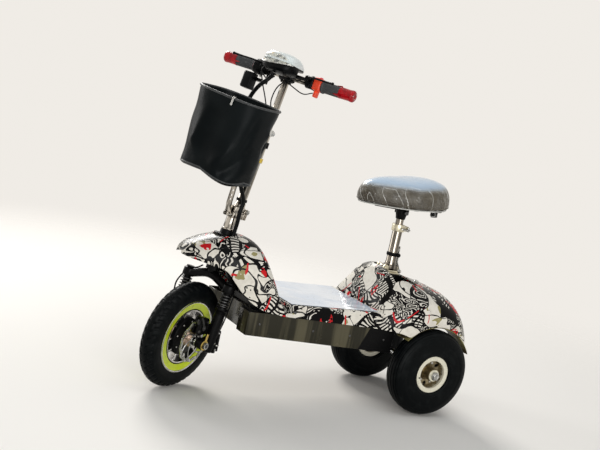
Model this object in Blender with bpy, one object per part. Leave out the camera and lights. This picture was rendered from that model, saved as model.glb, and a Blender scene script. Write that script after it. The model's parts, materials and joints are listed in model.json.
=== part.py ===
"""Three-wheeled electric scooter with a folding stem, a front hub motor and a folding saddle post.

Metres, +X forward, +Y to the rider's left, +Z up. The rear axle is at x = 0 while the pieces are
built; the last step moves everything so that the origin is under the middle of the bounding box.
Pieces that steer are built in the steering frame, whose z axis is the steering axis.
"""
import math

import bmesh
import bpy
from mathutils import Matrix, Vector

GAP = 0.0003

# wheels: 12 1/2 x 2 1/4 tyre in front, 3.50/4.10-4 tyres behind
FRONT_R = 0.159
FRONT_HALF_W = 0.0265
REAR_R = 0.1365
TRACK = 0.350
HUB_OUT = 0.0415
NUT_HIGH = 0.0102
AXLE_SPARE = 0.004

# steering axis
STEER_FOOT = Vector((0.690, 0.0, 0.470))
RAKE = math.radians(10.0)
STEER_REST = math.radians(30.0)
FORK_OFFSET = 0.038
LEG_X = -0.003
LEG_Y = 0.075
AXLE_Z = -0.3222
STEM_X = -0.018
STEM_PIVOT = Vector((-0.0360, 0.0, 0.0690))
BAR_Z = 0.4813
BAR_HALF = 0.230

# chassis
DECK_TOP = 0.305
DECK_HALF_W = 0.158
BOX_HALF_W = 0.145
BOX_FRONT = 0.620
BOX_WING = 0.021
BOX_REAR = 0.130
RAIL_Z0 = 0.272
RAIL_Z1 = 0.2935
SEAM_Z = 0.272
SEAM_SLOPE = 0.0426
DECK_SKIN = 0.004
FILM_INSET = 0.012

# rear wheel arches
LINER_R = REAR_R + 0.0090
LINER_THICK = 0.0023
ARCH_R = LINER_R + LINER_THICK + 0.0012
LINER_IN = TRACK / 2 - 0.0470
LINER_OUT = TRACK / 2 + 0.0185
TAIL_HALF_W = TRACK / 2 + 0.0210

# saddle post
POST_X = 0.100
SEAT_PIVOT = Vector((0.126, 0.0, 0.418))

# suspension springs
SPRING_TURNS = 5.0
SPRING_WIRE = 0.0019
SPRING_R = 0.0147
SPRING_TOP = -0.1667
SPRING_FOOT = -0.2068

LOOM_R = 0.0060

MATERIALS = {
    "frame": ((0.012, 0.012, 0.013), 0.0, 0.35),
    "box": ((0.035, 0.033, 0.026), 0.0, 0.25),
    "pattern": ((0.42, 0.38, 0.33), 0.0, 0.35),
    "film": ((0.60, 0.68, 0.80), 0.0, 0.2),
    "liner": ((0.13, 0.12, 0.05), 0.0, 0.5),
    "tyre": ((0.010, 0.010, 0.011), 0.0, 0.6),
    "rim": ((0.72, 0.67, 0.52), 0.6, 0.3),
    "lime": ((0.42, 0.62, 0.03), 0.2, 0.3),
    "chrome": ((0.75, 0.73, 0.68), 1.0, 0.15),
    "steel": ((0.45, 0.45, 0.45), 1.0, 0.3),
    "black": ((0.010, 0.010, 0.011), 0.0, 0.4),
    "grip": ((0.045, 0.045, 0.048), 0.0, 0.7),
    "orange": ((0.75, 0.10, 0.02), 0.0, 0.35),
    "red": ((0.70, 0.03, 0.04), 0.0, 0.35),
    "saddle": ((0.09, 0.09, 0.09), 0.0, 0.35),
    "lens": ((0.75, 0.80, 0.78), 0.0, 0.1),
    "bag": ((0.006, 0.008, 0.009), 0.0, 0.5),
    "battery": ((0.10, 0.16, 0.32), 0.0, 0.5),
    "alloy": ((0.50, 0.50, 0.50), 1.0, 0.4),
}


def clear():
    for item in list(bpy.data.objects):
        bpy.data.objects.remove(item, do_unlink=True)


def material(name, look):
    color, metallic, rough = MATERIALS[look]
    mat = bpy.data.materials.new(name + "_mat")
    mat.use_nodes = True
    shader = mat.node_tree.nodes["Principled BSDF"]
    shader.inputs["Base Color"].default_value = (*color, 1.0)
    shader.inputs["Metallic"].default_value = metallic
    shader.inputs["Roughness"].default_value = rough
    mat.diffuse_color = (*color, 1.0)
    return mat


# solids as bmesh

def skin(loops, wrap=False, cap=True, closed=True):
    bm = bmesh.new()
    rows = [[bm.verts.new(p) for p in loop] for loop in loops]
    pairs = list(zip(rows, rows[1:]))
    if wrap:
        pairs.append((rows[-1], rows[0]))
    count = len(rows[0])
    for low, high in pairs:
        for i in range(count if closed else count - 1):
            j = (i + 1) % count
            bm.faces.new((low[i], low[j], high[j], high[i]))
    if cap and not wrap:
        bm.faces.new(rows[0])
        bm.faces.new(rows[-1])
    bmesh.ops.recalc_face_normals(bm, faces=bm.faces)
    return bm


def lathe(profile, segs=32, wrap=False):
    """Turns (radius, height) points about z; without wrap the end rings are capped."""
    loops = []
    for r, h in profile:
        loops.append([(r * math.cos(2 * math.pi * i / segs), r * math.sin(2 * math.pi * i / segs), h)
                      for i in range(segs)])
    return skin(loops, wrap=wrap)


def tube_ring(r_in, r_out, z0, z1, segs=32):
    return lathe([(r_in, z0), (r_out, z0), (r_out, z1), (r_in, z1)], segs, wrap=True)


def box(x0, x1, y0, y1, z0, z1):
    base = [(x0, y0), (x1, y0), (x1, y1), (x0, y1)]
    return skin([[(x, y, z0) for x, y in base], [(x, y, z1) for x, y in base]])


def prism_y(outline, y0, y1):
    return skin([[(x, y0, z) for x, z in outline], [(x, y1, z) for x, z in outline]])


def rod(p0, p1, radius, segs=12):
    p0 = Vector(p0)
    p1 = Vector(p1)
    turn = (p1 - p0).to_track_quat("Z", "Y").to_matrix().to_4x4()
    bm = lathe([(radius, 0.0), (radius, (p1 - p0).length)], segs)
    return moved(bm, Matrix.Translation(p0) @ turn)


def sweep(points, radius, segs=10, wrap=False):
    points = [Vector(p) for p in points]
    loops = []
    side = Vector((0, 0, 1))
    for i, here in enumerate(points):
        before = points[i - 1] if i or wrap else here
        after = points[(i + 1) % len(points)] if i + 1 < len(points) or wrap else here
        along = (after - before).normalized()
        side = side - along * side.dot(along)
        if side.length < 1e-3:
            side = along.orthogonal()
        side.normalize()
        other = along.cross(side)
        loops.append([here + (side * math.cos(a) + other * math.sin(a)) * radius
                      for a in (2 * math.pi * k / segs for k in range(segs))])
    return skin(loops, wrap=wrap)


def smooth_path(points, per_span=4):
    """Catmull-Rom points through the given ones."""
    pts = [Vector(p) for p in points]
    pts = [pts[0] * 2 - pts[1]] + pts + [pts[-1] * 2 - pts[-2]]
    out = []
    for i in range(1, len(pts) - 2):
        a, b, c, d = pts[i - 1:i + 3]
        for k in range(per_span):
            t = k / per_span
            out.append(0.5 * (2 * b + (c - a) * t + (2 * a - 5 * b + 4 * c - d) * t * t
                              + (3 * b - a - 3 * c + d) * t ** 3))
    out.append(pts[-2])
    return out


def moved(bm, matrix):
    bmesh.ops.transform(bm, matrix=matrix, verts=bm.verts)
    return bm


def along_y(bm, at=(0, 0, 0)):
    """Turns a solid made about z so that its axis is +Y, then moves it."""
    return moved(bm, Matrix.Translation(Vector(at)) @ Matrix.Rotation(math.radians(-90), 4, "X"))


def hexagon(radius, h0, h1):
    return lathe([(radius, h0), (radius, h1)], 6)


def hinge_ear(side, pivot, low, radius):
    """Upright ear whose round head lies about a hinge pin, so that what folds there can pass it."""
    outline = [(pivot.x - radius, low), (pivot.x + radius, low)]
    for k in range(7):
        a = math.pi * k / 6
        outline.append((pivot.x + radius * math.cos(a), pivot.z + radius * math.sin(a)))
    return prism_y(outline, side * 0.0150, side * 0.0195)


def helper(bm):
    mesh = bpy.data.meshes.new("solid")
    bm.to_mesh(mesh)
    bm.free()
    obj = bpy.data.objects.new("solid", mesh)
    bpy.context.scene.collection.objects.link(obj)
    return obj


def combine(first, second, operation):
    a = helper(first)
    b = helper(second)
    mod = a.modifiers.new("combine", "BOOLEAN")
    mod.operation = operation
    mod.solver = "EXACT"
    mod.object = b
    bpy.context.view_layer.update()
    graph = bpy.context.evaluated_depsgraph_get()
    mesh = bpy.data.meshes.new_from_object(a.evaluated_get(graph))
    out = bmesh.new()
    out.from_mesh(mesh)
    bpy.data.objects.remove(a, do_unlink=True)
    bpy.data.objects.remove(b, do_unlink=True)
    bpy.data.meshes.remove(mesh)
    bmesh.ops.remove_doubles(out, verts=out.verts, dist=2e-6)
    bmesh.ops.dissolve_degenerate(out, edges=out.edges, dist=1e-7)
    return out


def union(*solids):
    total = solids[0]
    for extra in solids[1:]:
        total = combine(total, extra, "UNION")
    return total


def cut(solid, *tools):
    for tool in tools:
        solid = combine(solid, tool, "DIFFERENCE")
    return solid


# the assembly tree

class Group:
    """An empty on a joint axis; children are given in the frame of the group it hangs on."""

    def __init__(self, name, parent=None, matrix=None):
        self.empty = bpy.data.objects.new(name, None)
        self.empty.empty_display_size = 0.03
        bpy.context.scene.collection.objects.link(self.empty)
        self.local = matrix or Matrix.Identity(4)
        if parent:
            self.empty.parent = parent.empty
            self.empty.matrix_local = parent.space_offset(self.local)
        else:
            self.empty.matrix_local = self.local

    def space_offset(self, matrix):
        return self.local.inverted() @ matrix


def add(name, bm, look, group, angle=35.0):
    """Makes a node from a solid given in the coordinates that the group's own matrix is given in."""
    moved(bm, group.local.inverted())
    bmesh.ops.recalc_face_normals(bm, faces=bm.faces)
    mesh = bpy.data.meshes.new(name)
    bm.to_mesh(mesh)
    bm.free()
    obj = bpy.data.objects.new(name, mesh)
    bpy.context.scene.collection.objects.link(obj)
    obj.data.materials.append(material(name, look))
    obj.parent = group.empty
    mesh.shade_smooth()
    mesh.set_sharp_from_angle(angle=math.radians(angle))
    return obj


def superellipse(t, n):
    c = math.cos(t)
    s = math.sin(t)
    return (math.copysign(abs(c) ** (2 / n), c), math.copysign(abs(s) ** (2 / n), s))


def box_floor(x):
    """Underside of the battery box, which drops to the rear."""
    return 0.203 - (BOX_FRONT - x) * 0.051


def seam(x):
    """Lower edge of the patterned skirts."""
    return SEAM_Z - (0.58 - x) * SEAM_SLOPE


# chassis

def straight_head():
    """The steering frame with the wheel pointing ahead, for the pieces that don't steer."""
    return Matrix.Translation(STEER_FOOT) @ Matrix.Rotation(-RAKE, 4, "Y")


def main_frame():
    head = straight_head()
    parts = [moved(lathe([(0.021, -0.119), (0.021, -0.030)], 16), head)]
    for side in (1, -1):
        parts.append(rod((0.684, 0.010 * side, 0.392), (0.596, 0.045 * side, 0.284), 0.0085, 12))
        parts.append(box(-0.030, 0.612, 0.088 * side, 0.112 * side, RAIL_Z0, RAIL_Z1))
        foot = REAR_R - 0.0155
        parts.append(prism_y([(-0.024, 0.276), (-0.018, foot), (0.018, foot), (0.024, 0.276)],
                             0.094 * side, 0.106 * side))
    for x in (-0.026, 0.070, 0.340, 0.588):
        parts.append(box(x, x + 0.022, -0.0885, 0.0885, 0.2745, 0.2915))
    parts.append(box(0.066, 0.118, -0.026, 0.026, 0.280, 0.4005))
    frame = union(*parts)
    bore = moved(lathe([(0.0166, -0.140), (0.0166, 0.0)], 16), head)
    axle = along_y(lathe([(0.0103, -0.2), (0.0103, 0.2)], 16), (0, 0, REAR_R))
    return cut(frame, bore, axle)


def tray_block(inset, floor, top):
    """The box's plan, whose front corners reach forward on both sides of the wheel, from floor to top."""
    half = BOX_HALF_W - inset
    wing = BOX_FRONT + BOX_WING - inset
    plan = [(BOX_REAR + inset, half), (wing, half), (wing, 0.086 + inset), (BOX_FRONT - inset, 0.060 + inset)]
    plan += [(x, -y) for x, y in reversed(plan)]
    return skin([[(x, y, box_floor(x) + floor) for x, y in plan], [(x, y, top) for x, y in plan]])


def battery_tray():
    return cut(tray_block(0.0, 0.0, RAIL_Z0 - GAP), tray_block(0.003, 0.003, 0.280))


def lying_block(x0, x1, half, top):
    outline = [(x0, box_floor(x0) + 0.0033), (x1, box_floor(x1) + 0.0033), (x1, top), (x0, top)]
    return prism_y(outline, -half, half)


def deck_panel():
    """Floor plate with skirts over the sides of the box."""
    x0 = 0.1955
    x1 = 0.5235
    half = DECK_HALF_W
    inside = half - DECK_SKIN
    edge = DECK_TOP - DECK_SKIN
    rows = []
    for y, top in ((-half, edge), (-inside, DECK_TOP), (inside, DECK_TOP), (half, edge)):
        rows.append([(x0, y, seam(x0)), (x1, y, seam(x1)), (x1, y, top), (x0, y, top)])
    return cut(skin(rows), box(x0 - 0.01, x1 + 0.01, -inside, inside, 0.2, RAIL_Z1 + GAP))


def deck_film():
    half = DECK_HALF_W - FILM_INSET
    outline = [(0.208, -half), (0.512, -half), (0.512, half), (0.208, half)]
    low = DECK_TOP + GAP
    return skin([[(x, y, low) for x, y in outline], [(x, y, low + 0.0012) for x, y in outline]])


def hull(sections, thickness, power, count=12):
    """Hollow cover from (x, half width, top, lower edge) sections, open below; power(x) squares it."""
    def arc(x, w, top, low, inset):
        row = []
        for i in range(count + 1):
            c, s = superellipse(math.pi * i / count, power(x))
            row.append((x, (w - inset) * c, low + (top - inset - low) * s))
        return row
    bm = bmesh.new()
    outer = [[bm.verts.new(p) for p in arc(*s, 0.0)] for s in sections]
    inner = [[bm.verts.new(p) for p in arc(*s, thickness)] for s in sections]
    for grid in (outer, inner):
        for a, b in zip(grid, grid[1:]):
            for i in range(count):
                bm.faces.new((a[i], a[i + 1], b[i + 1], b[i]))
    for (a, b), (c, d) in zip(zip(outer, outer[1:]), zip(inner, inner[1:])):
        for i in (0, count):
            bm.faces.new((a[i], b[i], d[i], c[i]))
    for k in (0, -1):
        for i in range(count):
            bm.faces.new((outer[k][i], outer[k][i + 1], inner[k][i + 1], inner[k][i]))
    bmesh.ops.recalc_face_normals(bm, faces=bm.faces)
    return bm


def front_shell():
    """Nose and footwell end; each section gives x, how far it is in from the deck's edge, top, lower edge."""
    sections = [
        (0.825, 0.138, 0.405, 0.394), (0.814, 0.116, 0.417, 0.391), (0.795, 0.098, 0.431, 0.388),
        (0.771, 0.087, 0.442, 0.384), (0.745, 0.078, 0.452, 0.379), (0.718, 0.070, 0.459, 0.374),
        (0.700, 0.064, 0.463, 0.364), (0.680, 0.054, 0.465, 0.341), (0.660, 0.041, 0.465, 0.318),
        (0.640, 0.028, 0.463, 0.300), (0.620, 0.018, 0.458, 0.288), (0.603, 0.011, 0.447, 0.281),
        (0.588, 0.006, 0.428, 0.277), (0.574, 0.002, 0.402, 0.275), (0.561, 0.0, 0.372, 0.2735),
        (0.550, 0.0, 0.343, 0.2725), (0.539, 0.0, 0.320, 0.2705), (0.524, 0.0, 0.308, 0.2695)]
    sections = [(x, DECK_HALF_W - inset, top, low) for x, inset, top, low in sections]
    shell = hull(sections, 0.003, lambda x: 2.7)
    return cut(shell, moved(lathe([(0.035, -0.06), (0.035, 0.05)], 24), straight_head()))


def arch(x):
    """Lower edge of the rear cover over the wheels."""
    return REAR_R + math.sqrt(ARCH_R ** 2 - min(abs(x), 0.128) ** 2)


def rear_power(x):
    """Rounder on the front hump than at the foot and over the wheels."""
    return 2.6 - 0.6 * max(0.0, 1.0 - abs(x - 0.150) / 0.050)


def rear_shell():
    """Saddle hump, out from the deck's edge, then the tail, in from its widest and up from the axle."""
    hump = [(0.195, 0.0, 0.309, 0.2556), (0.190, 0.002, 0.332, 0.2554), (0.183, 0.005, 0.352, 0.2551),
            (0.174, 0.009, 0.369, 0.2547), (0.165, 0.013, 0.386, 0.2543), (0.156, 0.017, 0.403, 0.2539),
            (0.147, 0.021, 0.416, 0.2535), (0.134, 0.026, 0.4255, 0.2530), (0.118, 0.032, 0.425, 0.250)]
    tail = [(0.100, 0.002, 0.2805), (0.078, 0.0, 0.2715), (0.050, 0.0, 0.2625), (0.020, 0.0, 0.2545),
            (-0.010, 0.001, 0.2485), (-0.038, 0.003, 0.2425), (-0.064, 0.006, 0.2345),
            (-0.086, 0.010, 0.2215), (-0.105, 0.015, 0.2045), (-0.120, 0.021, 0.1835),
            (-0.131, 0.028, 0.1595), (-0.138, 0.036, 0.1315), (-0.142, 0.044, 0.1085)]
    sections = [(x, DECK_HALF_W + outset, top, low) for x, outset, top, low in hump]
    sections += [(x, TAIL_HALF_W - inset, REAR_R + rise, arch(x)) for x, inset, rise in tail]
    shell = hull(sections, 0.003, rear_power)
    notch = skin([[(0.050, -0.034, 0.50), (0.144, -0.034, 0.50), (0.144, 0.150, 0.50), (0.050, 0.150, 0.50)],
                  [(0.056, -0.034, 0.345), (0.138, -0.034, 0.345), (0.138, 0.090, 0.345),
                   (0.056, 0.090, 0.345)]])
    return cut(shell, notch)


def arch_liner(side):
    loops = []
    for i in range(15):
        a = math.radians(42 + i * 110 / 14)
        loops.append([(r * math.cos(a), y * side, REAR_R + r * math.sin(a))
                      for r, y in ((LINER_R, LINER_IN), (LINER_R, LINER_OUT),
                                   (LINER_R + LINER_THICK, LINER_OUT), (LINER_R + LINER_THICK, LINER_IN))])
    return skin(loops)


def rear_rim():
    profile = [(0.0106, -0.040), (0.020, -0.040), (0.024, -0.008), (0.045, -0.004),
               (0.046, -0.0325), (0.0585, -0.0325), (0.0585, -0.0300), (0.0500, -0.0230),
               (0.0500, 0.0230), (0.0585, 0.0300), (0.0585, 0.0325), (0.046, 0.0325),
               (0.0445, 0.008), (0.024, 0.010), (0.019, HUB_OUT), (0.0106, HUB_OUT)]
    rim = lathe(profile, 20, wrap=True)
    holes = []
    for i in range(5):
        a = 2 * math.pi * (i + 0.1) / 5
        spot = (0.0335 * math.cos(a), 0.0335 * math.sin(a))
        holes.append(rod((*spot, -0.05), (*spot, 0.05), 0.0080, 6))
    return cut(rim, *holes)


def rear_tyre():
    side = [(0.0524, 0.0215), (0.0592, 0.0298), (0.0610, 0.0370), (0.0850, 0.0405),
            (REAR_R - 0.0285, 0.0395), (REAR_R - 0.0105, 0.0320), (REAR_R - 0.0015, 0.0160)]
    profile = side + [(REAR_R, 0.0)] + [(r, -y) for r, y in reversed(side)]
    return lathe(profile, 28, wrap=True)


def rear_wheel(root, name, side):
    hub = Matrix.Translation((0, side * TRACK / 2, REAR_R))
    if side < 0:
        hub = hub @ Matrix.Rotation(math.pi, 4, "Z")
    spin = Group("rear_" + name + "_hub", root, hub)
    add("rear_rim_" + name, moved(along_y(rear_rim()), hub), "rim", spin)
    add("rear_tyre_" + name, moved(along_y(rear_tyre()), hub), "tyre", spin)


def seat_hinge_base():
    foot = box(0.074, 0.148, -0.022, 0.022, 0.4008, 0.4060)
    block = box(0.078, 0.117, -0.019, 0.019, 0.4055, 0.4128)
    ears = [hinge_ear(s, SEAT_PIVOT, 0.4055, 0.0115) for s in (1, -1)]
    pin = along_y(lathe([(0.0040, -0.0225), (0.0040, 0.0225)], 12), SEAT_PIVOT)
    lug = box(0.0665, 0.0790, -0.0035, 0.0035, 0.4010, 0.4120)
    return union(foot, block, *ears, pin, lug)


def seat_tube():
    head = box(0.080, 0.1135, -0.0185, 0.0185, 0.4131, 0.4290)
    knuckle = along_y(lathe([(0.0085, -0.0146), (0.0085, 0.0146)], 16), SEAT_PIVOT)
    web = box(0.112, 0.130, -0.0146, 0.0146, 0.4200, 0.4288)
    tube = moved(lathe([(0.0158, 0.425), (0.0158, 0.560)], 16), Matrix.Translation((POST_X, 0, 0)))
    body = union(head, knuckle, web, tube)
    pin = along_y(lathe([(0.0043, -0.03), (0.0043, 0.03)], 12), SEAT_PIVOT)
    bore = moved(lathe([(0.0128, 0.431), (0.0128, 0.600)], 16), Matrix.Translation((POST_X, 0, 0)))
    return cut(body, pin, bore)


def seat_latch():
    plate = skin([[(0.0620, y, 0.4130), (0.0662, y, 0.4130), (0.0790, y, 0.4400), (0.0802, y, 0.4900),
                   (0.0772, y, 0.4900), (0.0757, y, 0.4410)] for y in (-0.0065, 0.0065)])
    eye = along_y(lathe([(0.0062, -0.0100), (0.0062, 0.0100)], 12), (0.0640, 0, 0.4100))
    slot = box(0.0500, 0.0800, -0.0038, 0.0038, 0.4000, 0.4178)
    return cut(union(plate, eye), slot)


def seat_collar():
    ring = tube_ring(0.0161, 0.0205, 0.5380, 0.5560, 16)
    ring = moved(ring, Matrix.Translation((POST_X, 0, 0)))
    ears = box(0.0640, 0.0815, -0.0080, 0.0080, 0.5400, 0.5540)
    ring = union(ring, ears)
    return cut(ring, box(0.0600, 0.0860, -0.0011, 0.0011, 0.5300, 0.5600))


def seat_collar_lever():
    bar = smooth_path([(0.0690, 0.0125, 0.547), (0.0690, 0.0205, 0.5472), (0.0750, 0.0275, 0.5475),
                       (0.0870, 0.0300, 0.548), (0.1040, 0.0310, 0.549)], 3)
    eye = rod((0.0690, 0.0125, 0.5405), (0.0690, 0.0125, 0.5535), 0.0042, 12)
    return union(sweep(bar, 0.0032, 10), eye)


def saddle_clamp():
    sleeve = moved(lathe([(0.0190, 0.587), (0.0190, 0.6125)], 16), Matrix.Translation((POST_X, 0, 0)))
    cross = along_y(lathe([(0.0075, -0.0265), (0.0075, 0.0265)], 14), (POST_X, 0, 0.6005))
    plates = [box(POST_X - 0.013, POST_X + 0.013, s * 0.0180, s * 0.0208, 0.5940, 0.6170) for s in (1, -1)]
    body = union(sleeve, cross, *plates)
    bore = moved(lathe([(0.0128, 0.500), (0.0128, 0.607)], 16), Matrix.Translation((POST_X, 0, 0)))
    return cut(body, bore)


def saddle_rails():
    half = [(0.215, 0.012, 0.6180), (0.185, 0.020, 0.6160), (0.140, 0.0245, 0.6130), (0.100, 0.0245, 0.6130),
            (0.060, 0.0265, 0.6135), (0.020, 0.0500, 0.6160), (-0.002, 0.0600, 0.6175)]
    path = smooth_path(half, 2)
    mirror = [Vector((p.x, -p.y, p.z)) for p in reversed(path)]
    bend = [Vector((-0.010, 0.050, 0.6175)), Vector((-0.013, 0.030, 0.6175)), Vector((-0.014, 0.0, 0.6175)),
            Vector((-0.013, -0.030, 0.6175)), Vector((-0.010, -0.050, 0.6175))]
    return sweep(path + bend + mirror, 0.0033, 6)


def saddle_outline(t, scale=1.0):
    """Plan of the saddle: broad at the back, with a short nose."""
    c, s = superellipse(t, 2.3)
    x = 0.112 + 0.159 * c * scale
    nose = max(0.0, c)
    half = 0.114 * (1.0 - 0.50 * nose ** 1.4) * scale
    return x, half * s


def saddle_cushion():
    rings = []
    count = 32
    stations = [(0.80, 0.6250), (0.93, 0.6255), (0.985, 0.6320), (1.0, 0.6440), (0.985, 0.6590),
                (0.94, 0.6725), (0.85, 0.6840), (0.70, 0.6930), (0.50, 0.6990), (0.28, 0.7020),
                (0.08, 0.7030)]
    for scale, z in stations:
        loop = []
        for i in range(count):
            x, y = saddle_outline(2 * math.pi * i / count, scale)
            top = max(0.0, (z - 0.644) / 0.0590)
            lift = (0.112 - x) * 0.085 * top
            loop.append((x, y, z + lift))
        rings.append(loop)
    return skin(rings)


def saddle_pan():
    loops = []
    for scale, z in ((0.72, 0.6216), (0.78, 0.6216), (0.785, 0.6247)):
        loops.append([(*saddle_outline(2 * math.pi * i / 24, scale), z) for i in range(24)])
    return skin(loops)


# steering

def fork_crown():
    """Steerer, arched crown tube, two sockets with caps and the upper tubes that the legs slide on."""
    steerer = lathe([(0.0125, -0.139), (0.0125, 0.040)], 16)
    half = [(0.0, -0.0120, -0.1338), (-0.001, -0.0350, -0.1410), (-0.002, -0.0580, -0.1500),
            (LEG_X, -LEG_Y, -0.1545)]
    bend = list(reversed(half)) + [(x, -y, z) for x, y, z in half]
    parts = [steerer, sweep(bend, 0.0130, 10)]
    for side in (1, -1):
        spot = Matrix.Translation((LEG_X, side * LEG_Y, 0))
        parts.append(moved(lathe([(0.0165, -0.1650), (0.0185, -0.1620), (0.0185, -0.1430), (0.0130, -0.1395),
                                  (0.0130, -0.1345)], 16), spot))
        parts.append(moved(lathe([(0.0105, -0.262), (0.0105, -0.160)], 12), spot))
    return union(*parts)


def fork_leg(side):
    spot = Matrix.Translation((LEG_X, side * LEG_Y, 0))
    tube = moved(lathe([(0.0155, -0.344), (0.0165, -0.245), (0.0150, -0.222), (0.0185, -0.2165),
                        (0.0185, -0.2075)], 16), spot)
    drop = prism_y([(LEG_X, -0.343), (FORK_OFFSET - 0.004, -0.3375), (FORK_OFFSET, -0.3070), (LEG_X, -0.2920)],
                   side * 0.0670, side * 0.0810)
    boss = along_y(lathe([(0.0155, side * 0.0640), (0.0155, side * 0.0870)], 12), (FORK_OFFSET, 0, AXLE_Z))
    stub = along_y(lathe([(0.0105, side * 0.0570), (0.0105, side * 0.0700)], 12), (FORK_OFFSET, 0, AXLE_Z))
    body = union(tube, drop, boss, stub)
    bore = moved(lathe([(0.0108, -0.292), (0.0108, -0.190)], 16), spot)
    axle = along_y(lathe([(0.0063, -0.12), (0.0063, 0.12)], 12), (FORK_OFFSET, 0, AXLE_Z))
    if side > 0:
        body = union(body, box(0.0050, 0.0177, 0.0610, 0.0655, -0.2960, -0.2640))
    return cut(body, bore, axle)


def coil(side):
    """One unbroken wire with flat end turns; prints its least gap to itself."""
    points = []
    per_turn = 7
    total = int(per_turn * SPRING_TURNS)
    height = (SPRING_TOP - SPRING_WIRE) - (SPRING_FOOT + SPRING_WIRE)
    for i in range(total + 1):
        share = i / total
        turn = share * SPRING_TURNS
        ends = 0.9
        inner = SPRING_TURNS - 2 * ends
        closed = 2.35 * SPRING_WIRE / height
        if turn < ends:
            level = closed * turn / ends
        elif turn > SPRING_TURNS - ends:
            level = 1 - closed * (SPRING_TURNS - turn) / ends
        else:
            level = closed + (1 - 2 * closed) * (turn - ends) / inner
        a = 2 * math.pi * turn
        points.append(Vector((LEG_X + SPRING_R * math.cos(a), side * LEG_Y + SPRING_R * math.sin(a),
                              SPRING_FOOT + SPRING_WIRE + height * level)))
    least = min((p - q).length for i, p in enumerate(points) for j, q in enumerate(points)
                if j - i > per_turn // 2) - 2 * SPRING_WIRE
    print("least gap of the spring to itself, mm:", round(least * 1000, 3))
    return sweep(points, SPRING_WIRE, 6)


def front_axle():
    rod_y = along_y(lathe([(0.0060, -0.0980), (0.0060, 0.0980)], 12))
    nuts = [along_y(hexagon(0.0105, s * 0.0873, s * 0.0949)) for s in (1, -1)]
    return union(rod_y, *nuts)


def front_rim():
    ring = [(0.1085, 0.0215), (0.1085, 0.0245), (0.0985, 0.0240), (0.0780, 0.0205), (0.0765, 0.0120)]
    ring += [(r, -y) for r, y in reversed(ring)]
    ring += [(0.1015, -0.0145), (0.0980, -0.0090), (0.0980, 0.0090), (0.1015, 0.0145)]
    hub = [(0.0066, -0.0560), (0.0120, -0.0560), (0.0125, -0.0260), (0.0520, -0.0220), (0.0560, -0.0170),
           (0.0560, 0.0170), (0.0520, 0.0220), (0.0270, 0.0250), (0.0190, 0.0512), (0.0066, 0.0512)]
    parts = [lathe(ring, 28, wrap=True), lathe(hub, 16, wrap=True)]
    for i in range(5):
        plan = [(0.052, -0.0045), (0.0795, -0.0095), (0.0795, 0.0095), (0.052, 0.0045)]
        arm = skin([[(x, y, z) for x, y in plan] for z in (-0.0070, 0.0070)])
        parts.append(moved(arm, Matrix.Rotation(2 * math.pi * (i + 0.3) / 5, 4, "Z")))
    return union(*parts)


def front_tyre():
    side = [(0.1030, 0.0125), (0.1094, 0.0205), (0.1098, 0.0245), (FRONT_R - 0.0310, FRONT_HALF_W),
            (FRONT_R - 0.0160, FRONT_HALF_W - 0.0020), (FRONT_R - 0.0040, 0.0140)]
    profile = side + [(FRONT_R, 0.0)] + [(r, -y) for r, y in reversed(side)]
    return lathe(profile, 32, wrap=True)


def brake_disc():
    disc = tube_ring(0.0068, 0.0660, 0.0515, 0.0535, 24)
    tools = []
    for i in range(5):
        a = 2 * math.pi * i / 5
        spot = (0.0450 * math.cos(a), 0.0450 * math.sin(a))
        tools.append(rod((*spot, 0.04), (*spot, 0.06), 0.0095, 6))
    return cut(disc, *tools)


def brake_caliper():
    """Two halves over the disc above the axle, joined over its edge; its back lies on the leg's lug."""
    outer = box(0.0180, 0.0620, 0.0550, 0.0655, -0.2990, -0.2505)
    inner = box(0.0180, 0.0620, 0.0430, 0.0500, -0.2990, -0.2505)
    bridge = box(0.0230, 0.0570, 0.0430, 0.0655, -0.2550, -0.2490)
    return union(outer, bridge, inner)


def caliper_arm():
    eye = along_y(lathe([(0.0080, 0.0658), (0.0080, 0.0700)], 16), (0.0380, 0, -0.2780))
    bar = skin([[(0.0330, y, -0.2760), (0.0405, y, -0.2810), (0.0655, y, -0.2500), (0.0610, y, -0.2465)]
                for y in (0.0660, 0.0695)])
    return union(eye, bar)


def steering_plug():
    profile = [(0.0128, -0.0160), (0.0338, -0.0160), (0.0338, -0.0110), (0.0180, -0.0110),
               (0.0180, 0.0037), (0.0128, 0.0037)]
    return cut(lathe(profile, 20, wrap=True), rod((0.0, 0.0255, -0.03), (0.0, 0.0255, 0.02), 0.0068))


def stem_hinge_base():
    sleeve = lathe([(0.0152, 0.0040), (0.0152, 0.0450)], 16)
    block = box(-0.0330, 0.0220, -0.0190, 0.0190, 0.0430, 0.0600)
    ears = [hinge_ear(s, STEM_PIVOT, 0.0440, 0.0080) for s in (1, -1)]
    pin = along_y(lathe([(0.0045, -0.0215), (0.0045, 0.0215)], 12), STEM_PIVOT)
    nuts = [along_y(hexagon(0.0078, s * 0.0200, s * 0.0255), STEM_PIVOT) for s in (1, -1)]
    lug = box(0.0200, 0.0330, -0.0040, 0.0040, 0.0440, 0.0560)
    body = union(sleeve, block, *ears, pin, *nuts, lug)
    return cut(body, lathe([(0.0128, -0.01), (0.0128, 0.0403)], 16))


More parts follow.
